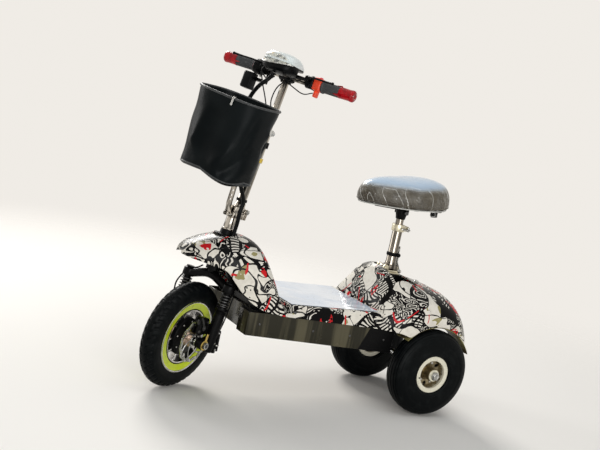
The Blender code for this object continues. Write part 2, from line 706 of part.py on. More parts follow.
def stem_tube():
    head = box(-0.0275, 0.0220, -0.0185, 0.0185, 0.0603, 0.0770)
    knuckle = along_y(lathe([(0.0082, -0.0146), (0.0082, 0.0146)], 16), STEM_PIVOT)
    web = box(-0.0360, -0.0260, -0.0146, 0.0146, 0.0660, 0.0768)
    tube = moved(lathe([(0.0140, 0.0720), (0.0140, 0.3000)], 16), Matrix.Translation((STEM_X, 0, 0)))
    body = union(head, knuckle, web, tube)
    pin = along_y(lathe([(0.0048, -0.03), (0.0048, 0.03)], 12), STEM_PIVOT)
    bore = moved(lathe([(0.0111, 0.0800), (0.0111, 0.3200)], 16), Matrix.Translation((STEM_X, 0, 0)))
    return cut(body, pin, bore)


def stem_latch():
    plate = skin([[(0.0270, y, 0.0590), (0.0330, y, 0.0560), (0.0420, y, 0.0800), (0.0470, y, 0.1380),
                   (0.0435, y, 0.1385), (0.0375, y, 0.0820)] for y in (-0.0085, 0.0085)])
    eye = along_y(lathe([(0.0065, -0.0105), (0.0065, 0.0105)], 12), (0.0300, 0, 0.0500))
    neck = box(0.0260, 0.0330, -0.0085, 0.0085, 0.0520, 0.0600)
    body = union(plate, eye, neck)
    slot = box(0.0180, 0.0400, -0.0043, 0.0043, 0.0400, 0.0640)
    body = cut(body, slot)
    return cut(body, rod((0.02, 0, 0.098), (0.06, 0, 0.098), 0.0042, 14))


def height_collar():
    ring = moved(tube_ring(0.0113, 0.0185, 0.3003, 0.3180, 16), Matrix.Translation((STEM_X, 0, 0)))
    ring = union(ring, box(STEM_X - 0.030, STEM_X - 0.0145, -0.0075, 0.0075, 0.3020, 0.3160))
    return cut(ring, box(STEM_X - 0.032, STEM_X - 0.010, -0.0011, 0.0011, 0.29, 0.33))


def riser():
    tube = moved(lathe([(0.0108, 0.1250), (0.0108, BAR_Z - 0.0113)], 16), Matrix.Translation((STEM_X, 0, 0)))
    clamp = along_y(lathe([(0.0178, -0.0210), (0.0178, 0.0210)], 16), (STEM_X, 0, BAR_Z))
    bore = along_y(lathe([(0.0114, -0.0300), (0.0114, 0.0300)], 16), (STEM_X, 0, BAR_Z))
    return cut(union(tube, clamp), bore)


def handlebar():
    return along_y(lathe([(0.0111, -0.2250), (0.0111, 0.2250)], 16), (STEM_X, 0, BAR_Z))


def grip(side, inner_end):
    bore = 0.0114
    profile = [(bore, inner_end), (0.0185, inner_end), (0.0190, inner_end + 0.0040),
               (0.0160, inner_end + 0.0080), (0.0158, BAR_HALF - 0.0200), (0.0172, BAR_HALF - 0.0120),
               (0.0160, BAR_HALF - 0.0020), (0.0120, BAR_HALF)]
    body = lathe(profile, 16)
    body = cut(body, lathe([(bore, inner_end - 0.01), (bore, 0.2253)], 16))
    turn = 0.0 if side > 0 else math.pi
    return moved(along_y(body), Matrix.Translation((STEM_X, 0, BAR_Z)) @ Matrix.Rotation(turn, 4, "Z"))


def switch_pod():
    """Left control housing with the brake perch."""
    body = box(STEM_X - 0.020, STEM_X + 0.020, 0.0850, 0.1240, BAR_Z - 0.0180, BAR_Z + 0.0200)
    tab = box(STEM_X - 0.008, STEM_X + 0.012, 0.1000, 0.1160, BAR_Z - 0.0360, BAR_Z - 0.0170)
    perch = box(STEM_X + 0.010, STEM_X + 0.0300, 0.0700, 0.0862, BAR_Z + 0.0000, BAR_Z + 0.0065)
    clamp = along_y(lathe([(0.0170, 0.0700), (0.0170, 0.0855)], 16), (STEM_X, 0, BAR_Z))
    bore = along_y(lathe([(0.0114, 0.0600), (0.0114, 0.1400)], 16), (STEM_X, 0, BAR_Z))
    well = rod((STEM_X - 0.006, 0.1050, BAR_Z + 0.0150), (STEM_X - 0.006, 0.1050, BAR_Z + 0.0300), 0.0068, 12)
    return cut(union(body, tab, clamp, perch), bore, well)


def horn_button():
    return rod((STEM_X - 0.006, 0.1050, BAR_Z + 0.0175), (STEM_X - 0.006, 0.1050, BAR_Z + 0.0245), 0.0065, 12)


def throttle_housing():
    """Right twist housing with the brake perch."""
    body = along_y(lathe([(0.0205, -0.1150), (0.0220, -0.1120), (0.0220, -0.0900), (0.0190, -0.0870)], 16),
                   (STEM_X, 0, BAR_Z))
    clamp = along_y(lathe([(0.0170, -0.0872), (0.0170, -0.0700)], 16), (STEM_X, 0, BAR_Z))
    perch = box(STEM_X + 0.010, STEM_X + 0.0300, -0.0862, -0.0700, BAR_Z + 0.0000, BAR_Z + 0.0065)
    bore = along_y(lathe([(0.0114, -0.1300), (0.0114, -0.0600)], 16), (STEM_X, 0, BAR_Z))
    return cut(union(body, clamp, perch), bore)


def brake_lever(side):
    x = STEM_X + 0.0230
    z = BAR_Z + 0.0068
    eye = moved(lathe([(0.0070, z), (0.0070, z + 0.0070)], 12), Matrix.Translation((x, side * 0.0780, 0)))
    blade = smooth_path([(x, side * 0.0780, z + 0.0038), (x + 0.012, side * 0.0900, z + 0.0042),
                         (x + 0.018, side * 0.1180, z + 0.0050), (x + 0.016, side * 0.1500, z + 0.0050),
                         (x + 0.022, side * 0.1760, z + 0.0050)], 3)
    return union(sweep(blade, 0.0036, 8), eye)


def headlight_housing():
    outline = [(-0.036, 0.0187), (-0.033, 0.0327), (-0.010, 0.0487), (0.030, 0.0537), (0.0640, 0.0467),
               (0.0780, 0.0007), (0.0600, -0.0093), (0.0060, -0.0093), (0.0060, 0.0187)]
    outline = [(x, BAR_Z + rise) for x, rise in outline]
    cx = 0.028
    cz = BAR_Z + 0.0237
    loops = []
    for y, k in ((-0.050, 0.55), (-0.047, 0.78), (-0.039, 0.94), (-0.026, 1.0), (0.026, 1.0),
                 (0.039, 0.94), (0.047, 0.78), (0.050, 0.55)):
        loops.append([(cx + (x - cx) * k, y, cz + (z - cz) * k) for x, z in outline])
    return skin(loops)


def headlight_lens():
    """Bulged clear cover on the sloping front of the housing."""
    middle = Vector((0.0710, 0, BAR_Z + 0.0237))
    up = Vector((-0.0140, 0, 0.0460)).normalized()
    out = Vector((up.z, 0, -up.x))
    loops = []
    for k, depth in ((0.96, 0.0004), (1.0, 0.0030), (0.97, 0.0075), (0.82, 0.0120), (0.50, 0.0150)):
        loop = []
        for i in range(20):
            c, s = superellipse(2 * math.pi * i / 20, 2.8)
            loop.append(middle + out * depth + Vector((0, 0.0380 * c * k, 0)) + up * (0.0195 * s * k))
        loops.append(loop)
    return skin(loops)


def horn_box():
    ring = along_y(lathe([(0.0165, -0.0690), (0.0165, -0.0590)], 16), (STEM_X, 0, BAR_Z))
    strap = box(STEM_X - 0.0030, STEM_X + 0.0030, -0.0685, -0.0595, BAR_Z - 0.0413, BAR_Z - 0.0133)
    body = box(0.0, 0.0330, -0.1160, -0.0840, BAR_Z - 0.0743, BAR_Z - 0.0253)
    link = box(STEM_X - 0.0030, 0.0120, -0.1000, -0.0595, BAR_Z - 0.0433, BAR_Z - 0.0343)
    bore = along_y(lathe([(0.0114, -0.12), (0.0114, 0.0)], 16), (STEM_X, 0, BAR_Z))
    return cut(union(ring, strap, link, body), bore)


def bag_loop(depth, width, z, back):
    """Plan of the bag at height z; its back lies flat against the bracket."""
    loop = []
    for i in range(24):
        c, s = superellipse(2 * math.pi * i / 24, 3.2)
        loop.append((back + 0.090 * depth * (1 + c), 0.108 * width * s, z))
    return loop


def basket_bag():
    """Open-topped bag with a rim roll and a flat stitched floor."""
    wall = 0.0026
    outer = [(0.86, 0.88, 0.1390), (0.91, 0.912, 0.1480), (0.96, 0.95, 0.2600), (1.0, 1.0, 0.3610),
             (1.012, 1.018, 0.3650), (1.012, 1.018, 0.3730)]
    loops = [bag_loop(depth, width, z, 0.077) for depth, width, z in outer]
    for depth, width, z in ((1.0, 1.0, 0.3730), (0.955, 0.945, 0.2600), (0.885, 0.885, 0.1440)):
        loops.append(bag_loop(depth - 2 * wall / 0.18, width - wall / 0.108, z, 0.077 + wall))
    return skin(loops)


def basket_bracket():
    ring = moved(tube_ring(0.0143, 0.0185, 0.2620, 0.2800, 16), Matrix.Translation((STEM_X, 0, 0)))
    arm = box(-0.0020, 0.0740, -0.0080, 0.0080, 0.2660, 0.2760)
    plate = box(0.0733, 0.0767, -0.0450, 0.0450, 0.2350, 0.3350)
    body = union(ring, arm, plate)
    return cut(body, moved(lathe([(0.0143, 0.20), (0.0143, 0.30)], 16), Matrix.Translation((STEM_X, 0, 0))))


def loom(points):
    return sweep(smooth_path(points, 2), LOOM_R, 8)


def chassis(root):
    add("main_frame", main_frame(), "frame", root)
    cups = tube_ring(0.0128, 0.0163, -0.1180, -0.0310, 16)
    add("head_bushing", moved(cups, straight_head()), "steel", root)
    add("battery_tray", battery_tray(), "box", root)
    add("battery_pack", lying_block(0.190, 0.490, 0.118, 0.262), "battery", root)
    add("motor_controller", lying_block(0.505, 0.590, 0.060, 0.258), "alloy", root)
    add("deck_panel", deck_panel(), "pattern", root)
    add("deck_film", deck_film(), "film", root)
    add("front_cover", front_shell(), "pattern", root)
    add("rear_cover", rear_shell(), "pattern", root)
    add("wheel_arch_left", arch_liner(1), "liner", root)
    add("wheel_arch_right", arch_liner(-1), "liner", root)


def rear_axle_set(root):
    spot = (0, 0, REAR_R)
    nut_in = TRACK / 2 + HUB_OUT + GAP
    nut_out = nut_in + NUT_HIGH
    end = nut_out + AXLE_SPARE
    add("rear_axle", along_y(lathe([(0.0100, -end), (0.0100, end)], 16), spot), "steel", root)
    for name, side in (("left", 1), ("right", -1)):
        rear_wheel(root, name, side)
        nut = cut(hexagon(0.0165, side * nut_in, side * nut_out), lathe([(0.0103, -0.3), (0.0103, 0.3)], 16))
        add("rear_nut_" + name, along_y(nut, spot), "steel", root)


def seat(root):
    add("seat_hinge_base", seat_hinge_base(), "chrome", root)
    latch = Group("seat_latch_pivot", root, Matrix.Translation((0.0640, 0, 0.4100)))
    add("seat_latch_lever", seat_latch(), "chrome", latch)
    fold = Group("seat_fold_pivot", root, Matrix.Translation(SEAT_PIVOT))
    add("seat_tube", seat_tube(), "chrome", fold)
    add("seat_collar", seat_collar(), "steel", fold)
    quick = Group("seat_collar_pivot", fold, Matrix.Translation((0.0690, 0.0125, 0.547)))
    add("seat_collar_lever", seat_collar_lever(), "chrome", quick)
    slide = Group("seat_slide", fold, Matrix.Translation((POST_X, 0, 0.560)))
    post = lathe([(0.0125, 0.450), (0.0125, 0.6065)], 16)
    add("seat_post", moved(post, Matrix.Translation((POST_X, 0, 0))), "chrome", slide)
    add("saddle_clamp", saddle_clamp(), "black", slide)
    add("saddle_rails", saddle_rails(), "steel", slide)
    add("saddle_pan", saddle_pan(), "black", slide)
    add("saddle_cushion", saddle_cushion(), "saddle", slide, 50.0)


def front_wheel(slide):
    centre = Matrix.Translation((FORK_OFFSET, 0, AXLE_Z))
    add("front_axle", moved(front_axle(), centre), "steel", slide)
    add("brake_caliper", brake_caliper(), "black", slide)
    arm = Group("caliper_arm_pivot", slide, Matrix.Translation((0.0380, 0.0680, -0.2780)))
    add("caliper_arm", caliper_arm(), "steel", arm)
    spin = Group("front_hub", slide, centre)
    add("front_rim", moved(along_y(front_rim()), centre), "lime", spin)
    add("front_tyre", moved(along_y(front_tyre()), centre), "tyre", spin)
    add("brake_disc", moved(along_y(brake_disc()), centre), "steel", spin)


def controls(bar):
    add("handlebar", handlebar(), "chrome", bar)
    add("grip_left", grip(1, 0.1245), "grip", bar)
    add("switch_pod", switch_pod(), "orange", bar)
    add("throttle_housing", throttle_housing(), "black", bar)
    twist = Group("throttle_pivot", bar, Matrix.Translation((STEM_X, 0, BAR_Z)))
    add("throttle_grip", grip(-1, 0.1153), "grip", twist)
    press = Group("horn_button_slide", bar, Matrix.Translation((STEM_X - 0.006, 0.105, BAR_Z + 0.0175)))
    add("horn_button", horn_button(), "red", press)
    for name, side in (("left", 1), ("right", -1)):
        spot = Matrix.Translation((STEM_X + 0.023, side * 0.078, BAR_Z))
        pivot = Group("brake_" + name + "_pivot", bar, spot)
        add("brake_lever_" + name, brake_lever(side), "black", pivot)
    add("headlight_housing", headlight_housing(), "black", bar)
    add("headlight_lens", headlight_lens(), "lens", bar)
    add("horn_box", horn_box(), "black", bar)


def steering(root):
    matrix = straight_head() @ Matrix.Rotation(STEER_REST, 4, "Z")
    steer = Group("steering_pivot", root, matrix)
    steer.local = Matrix.Identity(4)
    add("fork_crown", fork_crown(), "frame", steer)
    add("steering_plug", steering_plug(), "black", steer)
    add("stem_hinge_base", stem_hinge_base(), "chrome", steer)
    add("loom_lower", loom([(0.0, 0.0255, -0.0260), (0.0, 0.0255, -0.0100), (0.0, 0.0257, 0.0050),
                            (0.0070, 0.0285, 0.0360), (0.0160, 0.0300, 0.0640), (0.0160, 0.0300, 0.0720),
                            (0.0160, 0.0300, 0.0800)]), "black", steer)
    for name, side in (("left", 1), ("right", -1)):
        add("fork_spring_" + name, coil(side), "black", steer)
    slide = Group("suspension_slide", steer, Matrix.Translation((0, 0, AXLE_Z)))
    for name, side in (("left", 1), ("right", -1)):
        add("fork_leg_" + name, fork_leg(side), "frame", slide)
    front_wheel(slide)
    latch = Group("stem_latch_pivot", steer, Matrix.Translation((0.0300, 0, 0.0500)))
    add("stem_latch_lever", stem_latch(), "chrome", latch)
    fold = Group("stem_fold_pivot", steer, Matrix.Translation(STEM_PIVOT))
    add("stem_tube", stem_tube(), "chrome", fold)
    add("height_collar", height_collar(), "steel", fold)
    add("basket_bracket", basket_bracket(), "frame", fold)
    add("basket_bag", basket_bag(), "bag", fold, 50.0)
    add("loom_upper", loom([(0.0160, 0.0300, 0.0803), (0.0160, 0.0300, 0.0870), (0.0160, 0.0300, 0.0937),
                            (0.0280, 0.0260, 0.1150), (0.0430, 0.0200, 0.1370), (0.0560, 0.0050, 0.1900),
                            (0.0580, -0.0140, 0.2200), (0.0560, -0.0560, 0.2600), (0.0560, -0.0560, 0.3300),
                            (0.0560, -0.0480, 0.3850), (0.0620, -0.0300, 0.4200), (0.0560, -0.0120, 0.4480),
                            (0.0500, -0.0080, 0.4620), (0.0500, -0.0080, 0.4705)]), "black", fold)
    bar = Group("height_slide", fold, Matrix.Translation((STEM_X, 0, 0.3000)))
    add("riser_tube", riser(), "chrome", bar)
    controls(bar)


def settle(root):
    """Moves the whole scooter so that the origin is under the middle of its bounding box."""
    bpy.context.view_layer.update()
    corners = []
    for obj in bpy.data.objects:
        if obj.type == "MESH":
            corners += [obj.matrix_world @ v.co for v in obj.data.vertices]
    low = Vector((min(c.x for c in corners), min(c.y for c in corners), min(c.z for c in corners)))
    high = Vector((max(c.x for c in corners), max(c.y for c in corners), max(c.z for c in corners)))
    root.empty.location = (-(low.x + high.x) / 2, -(low.y + high.y) / 2, -low.z)
    bpy.context.view_layer.update()
    print("size", [round(v, 4) for v in high - low], "shift", [round(v, 5) for v in root.empty.location])


def main():
    clear()
    root = Group("scooter")
    chassis(root)
    rear_axle_set(root)
    seat(root)
    steering(root)
    settle(root)


main()
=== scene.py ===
"""Dressed model of a three-wheeled electric scooter with a folding stem, a cloth bag and a saddle.

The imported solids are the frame. Chassis pieces are written from the rear axle, X forward and Z up from
the floor; steering pieces are written in the steering frame, whose Z is the steering axis.
"""
import json
import math

import bmesh
import bpy
from mathutils import Matrix, Vector, noise

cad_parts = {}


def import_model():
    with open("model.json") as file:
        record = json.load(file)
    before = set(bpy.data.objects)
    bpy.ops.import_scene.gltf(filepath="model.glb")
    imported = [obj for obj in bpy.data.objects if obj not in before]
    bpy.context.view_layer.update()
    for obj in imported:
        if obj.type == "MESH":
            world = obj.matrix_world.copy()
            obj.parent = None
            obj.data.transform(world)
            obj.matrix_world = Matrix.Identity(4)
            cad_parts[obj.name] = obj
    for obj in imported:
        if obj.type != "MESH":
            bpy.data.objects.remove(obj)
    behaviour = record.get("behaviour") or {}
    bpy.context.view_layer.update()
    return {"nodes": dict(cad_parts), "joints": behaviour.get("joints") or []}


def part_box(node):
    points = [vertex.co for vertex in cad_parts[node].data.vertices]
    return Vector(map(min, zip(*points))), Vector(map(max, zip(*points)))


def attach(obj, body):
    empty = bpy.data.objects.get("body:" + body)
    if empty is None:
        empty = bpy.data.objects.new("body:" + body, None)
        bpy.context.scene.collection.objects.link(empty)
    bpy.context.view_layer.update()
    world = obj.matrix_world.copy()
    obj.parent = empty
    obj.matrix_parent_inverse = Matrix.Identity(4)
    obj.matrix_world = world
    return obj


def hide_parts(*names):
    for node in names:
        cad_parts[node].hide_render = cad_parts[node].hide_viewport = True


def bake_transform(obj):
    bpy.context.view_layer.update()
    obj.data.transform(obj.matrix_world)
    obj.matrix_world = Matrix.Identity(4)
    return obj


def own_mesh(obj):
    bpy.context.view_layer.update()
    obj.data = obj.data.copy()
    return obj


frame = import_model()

# driving sizes, as on the solids
REAR_R = 0.1365
TRACK = 0.35
LEG_X = -0.003
LEG_Y = 0.075
HUB_X = 0.038
HUB_Z = -0.3222
STEM_X = -0.018
BAR_Z = 0.4813
BAR_HALF = 0.23
POST_X = 0.1
DECK_TOP = 0.305
DECK_HALF = 0.158
SEAM_SLOPE = 0.0426
SPRING_TOP = -0.1667
SPRING_FOOT = -0.2068
COVER_SKIN = 0.003
SADDLE_X = 0.112
SADDLE_LENGTH = 0.159
SADDLE_WIDTH = 0.114
BAG_LOW = 0.139
BAG_TALL = 0.233
BAG_REACH = 0.09
LAMP_X = 0.028
LAMP_Z = 0.5045

# middles of pins and axles, in the frame of their pieces
REAR_AXLE = (0, 0, REAR_R)
FRONT_AXLE = (HUB_X, 0, HUB_Z)
CALIPER_PIVOT = (0.038, 0, -0.278)
SEAT_PIVOT = (0.126, 0, 0.418)
SADDLE_BOLT = (POST_X, 0, 0.6005)
STEM_PIVOT = (-0.036, 0, 0.069)
STEM_LATCH_PIN = (0.03, 0, 0.05)
BAR_MIDDLE = (STEM_X, 0, BAR_Z)

SIDES = (("left", 1), ("right", -1))

JOINTS = {joint["name"]: joint for joint in frame["joints"]}


def chassis_place():
    low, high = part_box("rear_axle")
    return Matrix.Translation(((low[0] + high[0]) / 2, 0, (low[2] + high[2]) / 2 - REAR_R))


def steering_place():
    z = Vector(JOINTS["steering"]["axis"]).normalized()
    y = Vector(JOINTS["front_wheel_spin"]["axis"]).normalized()
    x = y.cross(z)
    turn = Matrix((x, y, z)).transposed().to_4x4()
    return Matrix.Translation(JOINTS["steering"]["pos_m"]) @ turn


CHASSIS = chassis_place()
STEER = steering_place()
FRONT_HUB = STEER @ Matrix.Translation(FRONT_AXLE)
BAR = STEER @ Matrix.Translation(BAR_MIDDLE)
# the saddle's shapes are written level and lean back with the post's clamp
SADDLE = CHASSIS @ Matrix.Translation((SADDLE_X, 0, 0.64)) @ Matrix.Rotation(math.radians(3.5), 4,
        "Y") @ Matrix.Translation((-SADDLE_X, 0, -0.64))


# materials

def math_step(operation, swapped=False):
    """Method of Wire that adds a maths node."""

    def step(wire, value=0.0):
        first, second = (value, wire) if swapped else (wire, value)
        return wire.paint.add("ShaderNodeMath", {"operation": operation}, {0: first, 1: second})
    return step


class Wire:
    """A shader socket that takes part in arithmetic."""
    __add__ = math_step("ADD")
    __sub__ = math_step("SUBTRACT")
    __rsub__ = math_step("SUBTRACT", True)
    __mul__ = math_step("MULTIPLY")
    __gt__ = math_step("GREATER_THAN")
    __lt__ = math_step("LESS_THAN")
    __abs__ = math_step("ABSOLUTE")
    sin = math_step("SINE")
    highest = math_step("MAXIMUM")
    lowest = math_step("MINIMUM")

    def __init__(self, paint, socket):
        self.paint = paint
        self.socket = socket

    def between(self, low, high):
        """0 below low, 1 above high and smooth in the middle."""
        return self.paint.add("ShaderNodeMapRange", {"interpolation_type": "SMOOTHSTEP"},
                {"Value": self, "From Min": low, "From Max": high})


class Paint:
    """A material with a Principled shader."""
    SOCKETS = {"color": "Base Color", "rough": "Roughness", "metal": "Metallic", "normal": "Normal",
            "coat": "Coat Weight", "coat_rough": "Coat Roughness", "alpha": "Alpha", "ior": "IOR",
            "specular": "Specular IOR Level"}

    def __init__(self, name):
        self.material = bpy.data.materials.new(name)
        self.material.use_nodes = True
        self.nodes = self.material.node_tree.nodes
        self.shader = self.nodes["Principled BSDF"]
        self.place = self.add("ShaderNodeTexCoord", {}, {}, "Object")

    def add(self, kind, settings, sockets, output=0):
        node = self.nodes.new(kind)
        for key, value in settings.items():
            setattr(node, key, value)
        self.fill(node, sockets)
        return Wire(self, node.outputs[output])

    def fill(self, node, sockets):
        for key, value in sockets.items():
            if isinstance(value, Wire):
                self.material.node_tree.links.new(value.socket, node.inputs[key])
            else:
                node.inputs[key].default_value = value

    def vector(self, operation, *values, output=0):
        return self.add("ShaderNodeVectorMath", {"operation": operation}, dict(enumerate(values)), output)

    def noise(self, scale, detail=3.0, place=None, rough=0.5, output=0):
        return self.add("ShaderNodeTexNoise", {}, {"Vector": place or self.place, "Scale": scale,
                "Detail": detail, "Roughness": rough}, output)

    def cells(self, scale, feature="F1", place=None, output=0):
        return self.add("ShaderNodeTexVoronoi", {"feature": feature},
                {"Vector": place or self.place, "Scale": scale}, output)

    def stretch(self, x, y, z, place=None):
        return self.vector("MULTIPLY", place or self.place, (x, y, z))

    def axis(self, index, place=None):
        return self.add("ShaderNodeSeparateXYZ", {}, {"Vector": place or self.place}, index)

    def mix(self, share, first, second):
        return self.add("ShaderNodeMix", {"data_type": "RGBA"}, {0: share, 6: rgba(first), 7: rgba(second)}, 2)

    def bump(self, height, strength=0.3, distance=0.001, base=None):
        sockets = {"Height": height, "Strength": strength, "Distance": distance}
        if base:
            sockets["Normal"] = base
        return self.add("ShaderNodeBump", {}, sockets)

    def finish(self, **sockets):
        self.fill(self.shader, {self.SOCKETS[key]: rgba(value) for key, value in sockets.items()})
        return self.material


def rgba(value):
    return (*value, 1.0) if isinstance(value, tuple) and len(value) == 3 else value


def dimmed(color, share):
    return tuple(c * share for c in color)


def coated(name, cloud, span, first, second, rough, grain, **more):
    """Finish whose tone drifts between two colours.

    cloud is the drift's scale and detail, and span where it goes over from one colour to the other; rough is
    (share of the drift, base), or with the scale and detail of a drift of its own; grain is the scale, detail,
    strength and distance of the bump.
    """
    p = Paint(name)
    drift = p.noise(*cloud)
    share, base, *own = rough
    worn = p.noise(*own) if own else drift
    if grain:
        scale, detail, strength, distance = grain
        more["normal"] = p.bump(p.noise(scale, detail), strength, distance)
    return p.finish(color=p.mix(drift.between(*span), first, second),
            rough=worn * share + base if share else base, **more)


def gloss_black(name, tone, rough):
    return coated(name, (240.0, 5.0), (0.5, 0.82), (tone, tone, tone * 1.05),
            (tone * 2.6, tone * 2.5, tone * 2.4), (0.16, rough, 35.0, 3.0), (420.0, 2.0, 0.1, 0.0006), ior=1.17)


def zinc(name, color):
    return coated(name, (120.0, 5.0), (0.35, 0.75), color, dimmed(color, 0.62), (0.25, 0.22),
            (700.0, 3.0, 0.12, 0.0003), metal=1.0)


def enamel(name, color, rough=0.28, coat=0.35):
    """Sprayed lacquer with a little orange peel and a duller, dirtier tone in patches."""
    return coated(name, (70.0, 6.0), (0.55, 0.85), color, dimmed(color, 0.72), (0.15, rough - 0.07),
            (380.0, 2.0, 0.08, 0.0004), coat=coat, coat_rough=0.08)


def moulded(name, color, rough, grain=0.2, ior=1.17):
    """Injection-moulded plastic with a fine spark-eroded grain."""
    return coated(name, (50.0, 4.0), (0.4, 0.8), color, tuple(min(1.0, c * 1.45 + 0.003) for c in color),
            (0.16, rough - 0.08), (1300.0, 2.0, grain, 0.0003), ior=ior)


def polished(name, color, rough, grain=(0.0, 0.0, 1.0), dark=0.25):
    """Plated metal with painted reflections: light and dark streaks run along the direction in which the tube
    was drawn.
    """
    p = Paint(name)
    about = p.vector("SUBTRACT", p.place, p.vector("PROJECT", p.place, grain))
    # painted reflection: light and dark bands round the tube stand in for the surroundings mirrored in it
    tone = p.mix(p.noise(95.0, 1.5, about).between(0.42, 0.58), color, dimmed(color, dark))
    scratch = p.noise(800.0, 2.0, p.stretch(1.0, 1.0, 0.08))
    return p.finish(color=tone, metal=1.0, rough=p.noise(55.0, 5.0) * 0.14 + rough,
            normal=p.bump(scratch, 0.06, 0.0003))


def print_paint():
    """Glossy all-over print: black ground, cream patches, combs of bars, curled bands and red strokes."""
    p = Paint("cover_print_gloss")
    bent = p.vector("MULTIPLY_ADD", p.noise(9.0, 1.5, output="Color"), (0.085, 0.085, 0.085), p.place)
    chance = p.cells(17.0, place=bent, output="Color")
    edge = p.cells(17.0, "DISTANCE_TO_EDGE", bent)
    kind = p.axis(0, chance)
    other = p.axis(1, chance)
    unit = p.vector("NORMALIZE", p.vector("SUBTRACT", chance, (0.5, 0.5, 0.5)))
    along = p.vector("DOT_PRODUCT", bent, unit, output="Value")
    turned = p.vector("CROSS_PRODUCT", unit, (0.3, 0.9, 0.2))
    across = p.vector("DOT_PRODUCT", bent, turned, output="Value")
    comb = ((along * 600.0 + other * 6.0).sin() > 0.1).lowest((across * 190.0 + kind * 9.0).sin() > -0.72)
    curls = abs((p.noise(24.0, 0.6, bent) * 32.0).sin()) < 0.5
    scribble = abs((p.noise(62.0, 0.6, bent) * 21.0).sin()) < 0.44
    slits = abs(p.noise(13.0, 0.5, bent) - 0.5) < 0.014
    ticks = p.cells(60.0, place=bent) < 0.16
    solid = (kind < 0.17) * (edge > 0.05)
    cream = solid.highest((kind > 0.22) * (kind < 0.46) * comb).highest((kind > 0.46) * (kind < 0.7) * curls)
    cream = cream.highest((kind > 0.7) * (kind < 0.86) * scribble).highest((kind > 0.86) * ticks)
    lump = p.noise(15.0, 0.8, p.stretch(1.0, 1.0, 1.3, bent))
    cream = (cream * (lump < 0.584)).highest(lump > 0.607)
    cream = cream * (1.0 - slits) * (1.0 - ticks * solid)
    stroke = abs(p.noise(11.0, 0.4, p.stretch(1.0, 1.3, 0.8)) - 0.52) < 0.013
    dab = (p.axis(2, p.cells(30.0, place=bent, output="Color")) < 0.085) * (p.noise(75.0, 1.0, bent) < 0.56)
    red = (stroke * (p.noise(19.0, 1.0) > 0.54)).highest(dab * (p.noise(14.0, 0.0, bent) > 0.52))
    shade = (p.noise(26.0, 2.0, bent) > 0.63) * (lump > 0.607)
    aged = p.noise(60.0, 4.0)
    ground = p.mix(aged.between(0.35, 0.75), (0.82, 0.775, 0.68), (0.7, 0.655, 0.57))
    ground = p.mix(shade, ground, (0.33, 0.29, 0.13))
    color = p.mix(cream, (0.0026, 0.0026, 0.0028), ground)
    return p.finish(color=p.mix(red, color, (0.6, 0.017, 0.022)), rough=aged * 0.1 + 0.2,
            normal=p.bump(p.noise(9.0, 2.0), 0.12, 0.004), ior=1.17)


def tray_paint():
    """Dark olive-black lacquer with faint vertical streaks, partly dirt and partly a painted sheen."""
    p = Paint("battery_box_lacquer")
    streaks = p.noise(16.0, 3.0, p.stretch(1.0, 1.0, 0.1))
    fine = p.noise(90.0, 3.0, p.stretch(1.0, 1.0, 0.06))
    # painted sheen: the olive vertical streaks stand partly for dirt and partly for light caught on the lacquer
    dirt_and_sheen_streaks = (streaks * 0.75 + fine * 0.25).between(0.44, 0.6)
    return p.finish(color=p.mix(dirt_and_sheen_streaks, (0.02, 0.018, 0.01), (0.095, 0.084, 0.05)), specular=0.22,
            rough=p.noise(40.0, 3.0) * 0.2 + 0.14, normal=p.bump(p.noise(12.0, 2.0), 0.16, 0.003))


def bag_cloth():
    """Coated cloth: near-black with a fine plain weave, dusty where it has rubbed."""
    p = Paint("bag_coated_cloth")
    weave_a = (p.axis(2) * 5200.0 + p.axis(0) * 600.0).sin()
    weave_b = (p.axis(1) * 5200.0 - p.axis(0) * 3000.0).sin()
    broad = p.noise(9.0, 3.0)
    color = p.mix(broad.between(0.36, 0.66), (0.0016, 0.003, 0.0036), (0.0052, 0.0072, 0.0078))
    normal = p.bump(weave_a * weave_b, 0.1, 0.0002, p.bump(p.noise(26.0, 4.0), 0.22, 0.004))
    return p.finish(color=color, rough=broad * 0.16 + 0.3, normal=normal, ior=1.15)


def saddle_vinyl():
    p = Paint("saddle_vinyl")
    grain = p.cells(900.0, "DISTANCE_TO_EDGE")
    tone = p.noise(20.0, 4.0)
    color = p.mix(tone.between(0.35, 0.7), (0.062, 0.052, 0.038), (0.12, 0.104, 0.078))
    return p.finish(color=color, rough=tone * 0.2 + 0.32, ior=1.35, normal=p.bump(grain, 0.25, 0.0004))


def saddle_wrap():
    """Clear bag over the saddle: painted highlights along thin creases down its sides and a painted sky-blue
    reflection on top.
    """
    p = Paint("saddle_wrap")
    height = p.axis(2)
    lean = p.axis(0) - height * 0.55
    across = p.axis(1) + height * 0.2
    folded = p.add("ShaderNodeCombineXYZ", {}, {0: lean, 1: across, 2: height * 0.1})
    # painted highlights: pale opaque lines along the creases and crinkles
    crease_highlight = abs(p.noise(19.0, 2.0, folded) - 0.5) < 0.008
    crinkle_highlight = abs(p.noise(34.0, 3.0, folded, 0.6) - 0.48) < 0.007
    # painted reflection: the film turns sky blue and more opaque where its surface faces up
    painted_sky_reflection = p.axis(2, p.add("ShaderNodeNewGeometry", {}, {}, "Normal")).between(0.45, 0.93)
    haze = p.noise(17.0, 4.0).between(0.4, 0.75)
    share = (crease_highlight * 0.55).highest(crinkle_highlight * 0.3).highest(haze * 0.2).highest(painted_sky_reflection * 0.78)
    tint = p.mix(painted_sky_reflection, (0.74, 0.72, 0.66), (0.52, 0.7, 0.9))
    normal = p.bump(p.noise(26.0, 4.0, folded), 0.55, 0.004)
    p.finish(color=tint, rough=0.12, normal=normal, coat=0.6, coat_rough=0.03)
    clear = p.add("ShaderNodeBsdfTransparent", {}, {"Color": (1.0, 1.0, 1.0, 1.0)})
    both = p.add("ShaderNodeMixShader", {}, {0: share, 1: clear, 2: Wire(p, p.shader.outputs[0])})
    p.fill(p.nodes["Material Output"], {"Surface": both})
    return p.material


